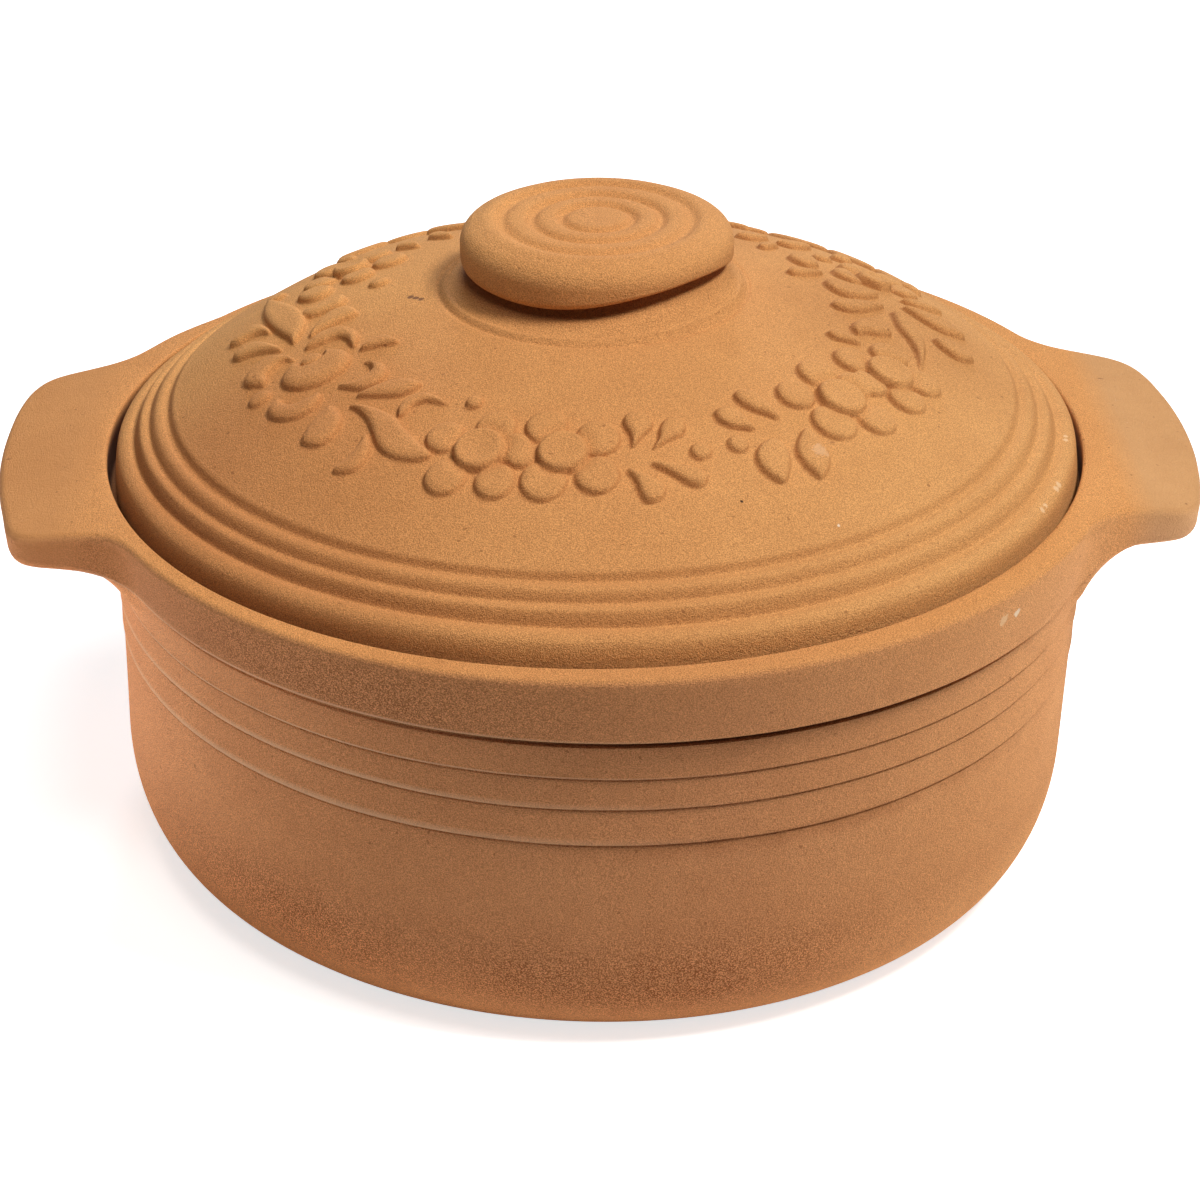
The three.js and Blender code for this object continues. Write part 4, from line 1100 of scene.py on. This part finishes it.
def makePotClay():
    s = potFinish
    material, tree, tone, base, place, axes = startClay("potClay", s)
    gold, outside = pieceMask(tree, "gold"), pieceMask(tree, "outside")
    # the lugs are smoothed by hand, so they show less grain
    fromAxis = addMath(tree, "ABSOLUTE", axes["X"], 0)
    lugFrom, lugTo = s["lugStart"]
    pits = addRamp(tree, fromAxis, lugFrom * mm, lugTo * mm, s["pits"], s["lugPits"])
    tree.links.new(pits, tone.node.inputs["Pits"])
    # golden rim, with painted light on its left, short of the lug
    tone = tint(tree, tone, gold, s["gold"])
    tone = tintWhere(tree, tone, axes, s["rimLeftLight"], addRamp(tree, gold, *s["rimLeftLightGold"]))
    # painted light on the left of the wall, and painted shade, with dark grains, on the front and the left of
    # the band
    tone = tintWhere(tree, tone, axes, s["wallLeftLight"])
    onBand = addRamp(tree, gold, *s["bandGold"])
    grain = noiseMask(tree, place, *s["darkGrain"])
    tone = sootAndShadeWhere(tree, tone, axes, s["bandFrontShade"], grain, onBand)
    tone = tintWhere(tree, tone, axes, s["bandLeftShade"], onBand)
    # painted light, yellower, all down the right side; a bluer tint on the right lug; painted light low on
    # the foot
    tone = tintWhere(tree, tone, axes, s["rightLight"], addRamp(tree, gold, *s["rightLightGold"]))
    tone = tintWhere(tree, tone, axes, s["lugTone"])
    tone = tintWhere(tree, tone, axes, s["footLight"], outside)
    tone = tintWhere(tree, tone, axes, s["footRightLight"], outside)
    # a belt of coarse dark grain above the foot at the front
    tone = sootAndShadeWhere(tree, tone, axes, s["soot"], grain, outside, noiseMask(tree, place, *s["sootPatches"]))
    # a brown smear under the lowest step at the front
    tone = tintWhere(tree, tone, axes, s["stain"], noiseMask(tree, place, *s["stainPatches"]), outside)
    # worn paler clay where the foot turns under
    tone = coverWhere(tree, tone, axes, s["worn"], noiseMask(tree, place, *s["wornPatches"]))
    # painted highlights on the lips on the left, painted shade in the creases under them, most of it on the
    # right
    tone = coverWhere(tree, tone, axes, s["lip"], pieceMask(tree, "lip"))
    tone = coverWhere(tree, tone, axes, s["groove"], pieceMask(tree, "groove"))
    # painted shade in the gap beside the lid's edge
    tone = coverWhere(tree, tone, axes, s["gap"], pieceMask(tree, "gap"), s["gapAmount"])
    tree.links.new(addMarks(tree, tone, s["marks"]), base)
    return material


lidFinish = {
    "light": (0.71, 0.332, 0.116, 1), "dark": (0.64, 0.288, 0.098, 1), "pit": (0.36, 0.140, 0.050, 1),
    "pits": 0.62, "grain": 3300, "bump": 0.9, "bumpDepth": 0.00040,
    # looks: colour, then axis, from and to in mm, and what comes out there
    # painted shade along the foot of the pads
    "creaseShade": ((0.86, 0.80, 0.76, 1),), "creaseAmount": 0.6,
    "creaseFoot": (0.0, 0.25), "creaseTop": (1.3, 0.5),    # heights of relief between which it lies
    # painted shade on the pads' sides that face the front left
    "padShade": ((0.69, 0.59, 0.53, 1), ("X", -55, 0, 0.4, 1.0)),
    "toast": ((0.80, 0.74, 0.70, 1),), "toastPlace": (74.0, -6.0, 139.0), "toastFade": (44, 14),
    "toastGrain": ((1500, 2, 0.6), (0.62, 0.40, 0.35, 1.0)),
    # painted shade in the ribs' creases
    "ribShade": ((0.84, 0.78, 0.74, 1), ("X", 90, -20, 0.2, 1.0)),
    # painted shade, redder, on the front left; painted light on the right; the back left made lighter
    "frontLeftShade": ((0.92, 0.84, 0.82, 1), ("X", -20, -100), ("Y", 30, -50)),
    "rightLight": ((1.02, 1.10, 1.13, 1), ("X", 0, 80)),
    "backLeft": ((1.10, 1.16, 1.13, 1), ("X", 0, -50), ("Y", -45, -5)),
    # painted shade under the knob
    "shade": (0.50, 0.40, 0.35, 1),
    # colour and strength, then places and radius in mm
    "marks": (
        # pale chips on the right edge
        ((0.86, 0.58, 0.34, 1), 0.7, (
            (121.9, -23.7, 120.0, 0.8), (122.3, -21.3, 120.0, 0.8), (114.6, -51.8, 119.4, 1.0),
            (115.6, -49.4, 119.4, 0.9), (109.0, -63.3, 119.1, 0.9), (110.2, -61.1, 119.1, 0.8))),
        # a nick beside the knob, a black and a white speck, a rubbed streak on a leaf
        ((0.13, 0.05, 0.03, 1), 0.8, (
            (-51.2, -2.8, 150.6, 1.1), (-49.7, -4.2, 151.0, 1.0), (-48.2, -5.6, 151.3, 0.9))),
        ((0.04, 0.02, 0.015, 1), 0.95, ((30.4, -91.6, 135.4, 0.5),)),
        ((0.92, 0.75, 0.58, 1), 0.8, ((53.9, -93.5, 130.0, 0.4),)),
        ((0.78, 0.46, 0.26, 1), 0.5, ((50.7, -73.9, 140.6, 2.0),)),
    ),
}


def makeLidClay():
    s = lidFinish
    material, tree, tone, base, place, axes = startClay("lidClay", s)
    # painted shade along the foot of the moulded pads, most of it on the side away from the light
    relief = pieceMask(tree, "relief")
    padFoot = allOf(tree, addRamp(tree, relief, *s["creaseFoot"]), addRamp(tree, relief, *s["creaseTop"]))
    tone = tintWhere(tree, tone, axes, s["creaseShade"], padFoot, s["creaseAmount"])
    tone = tintWhere(tree, tone, axes, s["padShade"], pieceMask(tree, "padShade"))
    # a sandy browned patch on the right of the garland
    away = addDistance(tree, place, [value * mm for value in s["toastPlace"]])
    nearToast = addRamp(tree, away, *(reach * mm for reach in s["toastFade"]))
    tone = tintWhere(tree, tone, axes, s["toast"], nearToast, noiseMask(tree, place, *s["toastGrain"]))
    # painted shade in the ribs' grooves, heavier on the left; painted shade, redder, on the lid's front left,
    # painted light on its right, and its back left made lighter
    tone = tintWhere(tree, tone, axes, s["ribShade"], pieceMask(tree, "creaseShade"))
    for look in ("frontLeftShade", "rightLight", "backLeft"):
        tone = tintWhere(tree, tone, axes, s[look])
    # painted shade, brown, under the knob and on the knob's underside
    tone = tint(tree, tone, pieceMask(tree, "shade"), s["shade"])
    tree.links.new(addMarks(tree, tone, s["marks"]), base)
    return material


pot = makePot()
lid = makeLid()
knob = makeKnob()
pot.data.materials.append(makePotClay())
lid.data.materials.append(makeLidClay())
knob.data.materials.append(lid.data.materials[0])
print("clay on every piece")

# Pale floor that stays white in the picture and keeps the pot's shadow, in metres
floorLook = {
    "size": 12.0, "below": 0.0004, "color": (0.86, 0.86, 0.86, 1), "roughness": 0.9,
    "glow": 0.72, "glowZone": (0.35, 1.4),    # the glow under the pot, and where it rises to white
}


def makeFloor():
    half, z = floorLook["size"] / 2, -floorLook["below"]
    corners = [(-half, -half, z), (half, -half, z), (half, half, z), (-half, half, z)]
    mesh = bpy.data.meshes.new("studioFloor")
    mesh.from_pydata(corners, [], [(0, 1, 2, 3)])
    floor = bpy.data.objects.new("studioFloor", mesh)
    scene.collection.objects.link(floor)
    material = bpy.data.materials.new("paleFloor")
    material.use_nodes = True
    tree = material.node_tree
    nodes, links = tree.nodes, tree.links
    shader = nodes["Principled BSDF"]
    shader.inputs["Base Color"].default_value = floorLook["color"]
    shader.inputs["Roughness"].default_value = floorLook["roughness"]
    shader.inputs["Specular IOR Level"].default_value = 0.0
    glow = nodes.new("ShaderNodeEmission")
    seen = nodes.new("ShaderNodeLightPath")
    away = addDistance(tree, nodes.new("ShaderNodeTexCoord").outputs["Object"], (0, 0, 0))
    level = addRamp(tree, away, *floorLook["glowZone"], floorLook["glow"], 1.0)
    links.new(allOf(tree, level, seen.outputs["Is Camera Ray"]), glow.inputs["Strength"])
    both = nodes.new("ShaderNodeAddShader")
    links.new(shader.outputs[0], both.inputs[0])
    links.new(glow.outputs[0], both.inputs[1])
    links.new(both.outputs[0], nodes["Material Output"].inputs["Surface"])
    mesh.materials.append(material)


makeFloor()

studio = {
    "world": 0.01,
    "lamps": (
        # name, place, aim, width, depth, watts, colour
        ("keySoftbox", (0.65, -0.37, 1.40), (0.0, 0.0, 0.1), 0.36, 0.36, 17.6, (1.0, 0.99, 0.95)),
        ("topSoftbox", (-0.10, -0.42, 1.50), (0.0, 0.0, 0.1), 0.5, 0.5, 7.0, (1.0, 0.99, 0.96)),
        ("backSoftbox", (0.0, 1.36, 0.72), (0.0, 0.0, 0.1), 0.4, 0.4, 6.4, (0.88, 1.0, 1.16)),
        # the lit table on both sides of the pot
        ("tableLeft", (-0.28, -0.03, 0.001), (-0.28, -0.03, 1.0), 0.24, 0.36, 0.52, (1.0, 0.98, 0.96)),
        ("tableRight", (0.34, -0.04, 0.001), (0.34, -0.04, 1.0), 0.32, 0.44, 0.66, (0.97, 1.0, 1.0)),
    ),
}


def makeStudio():
    world = bpy.data.worlds.new("studio")
    scene.world = world
    world.use_nodes = True
    tree = world.node_tree
    back = tree.nodes["Background"]
    back.inputs["Color"].default_value = (1, 1, 1, 1)
    seen = tree.nodes.new("ShaderNodeLightPath").outputs
    inMirror = addMath(tree, "MAXIMUM", seen["Is Glossy Ray"], seen["Is Transmission Ray"])
    direct = addMath(tree, "MAXIMUM", seen["Is Camera Ray"], inMirror)
    tree.links.new(addRamp(tree, direct, 0, 1, studio["world"], 1.0), back.inputs["Strength"])
    for name, place, aim, width, depth, watts, colour in studio["lamps"]:
        lamp = bpy.data.lights.new(name, "AREA")
        lamp.shape = "ELLIPSE"
        lamp.size, lamp.size_y = width, depth
        lamp.energy = watts
        lamp.color = colour
        holder = bpy.data.objects.new(name, lamp)
        holder.location = place
        holder.visible_camera = False
        holder.rotation_mode = "QUATERNION"
        holder.rotation_quaternion = (Vector(aim) - Vector(place)).to_track_quat("-Z", "Y")
        scene.collection.objects.link(holder)


makeStudio()
print("floor and lamps")

# The photograph's view, fitted to the rim, ribs and base: angles in degrees, lengths in mm
viewpoint = {
    "turn": -2.4, "distance": 800.0, "elevation": 25.13, "aim": (0.8, 0.0, 58.6), "rimHeight": 111.0,
    "lens": 88.39, "sensor": 36.0, "roll": 1.36,
    "near": 0.01, "far": 50.0,    # metres
}


def makeCamera():
    s = viewpoint
    rise = math.radians(s["elevation"])
    spin = Matrix.Rotation(math.radians(s["turn"]), 3, "Z")
    outwards, upwards = s["distance"] * math.cos(rise), s["distance"] * math.sin(rise) + s["rimHeight"]
    place = spin @ Vector((0, -outwards, upwards)) * mm
    aim = spin @ Vector(s["aim"]) * mm
    data = bpy.data.cameras.new("photoView")
    data.lens, data.sensor_width = s["lens"], s["sensor"]
    data.clip_start, data.clip_end = s["near"], s["far"]
    camera = bpy.data.objects.new("photoView", data)
    scene.collection.objects.link(camera)
    look = (aim - place).to_track_quat("-Z", "Y").to_matrix()
    roll = Matrix.Rotation(math.radians(s["roll"]), 3, "Z")
    camera.matrix_world = Matrix.Translation(place) @ (look @ roll).to_4x4()
    scene.camera = camera


makeCamera()
scene.view_settings.view_transform = "Standard"
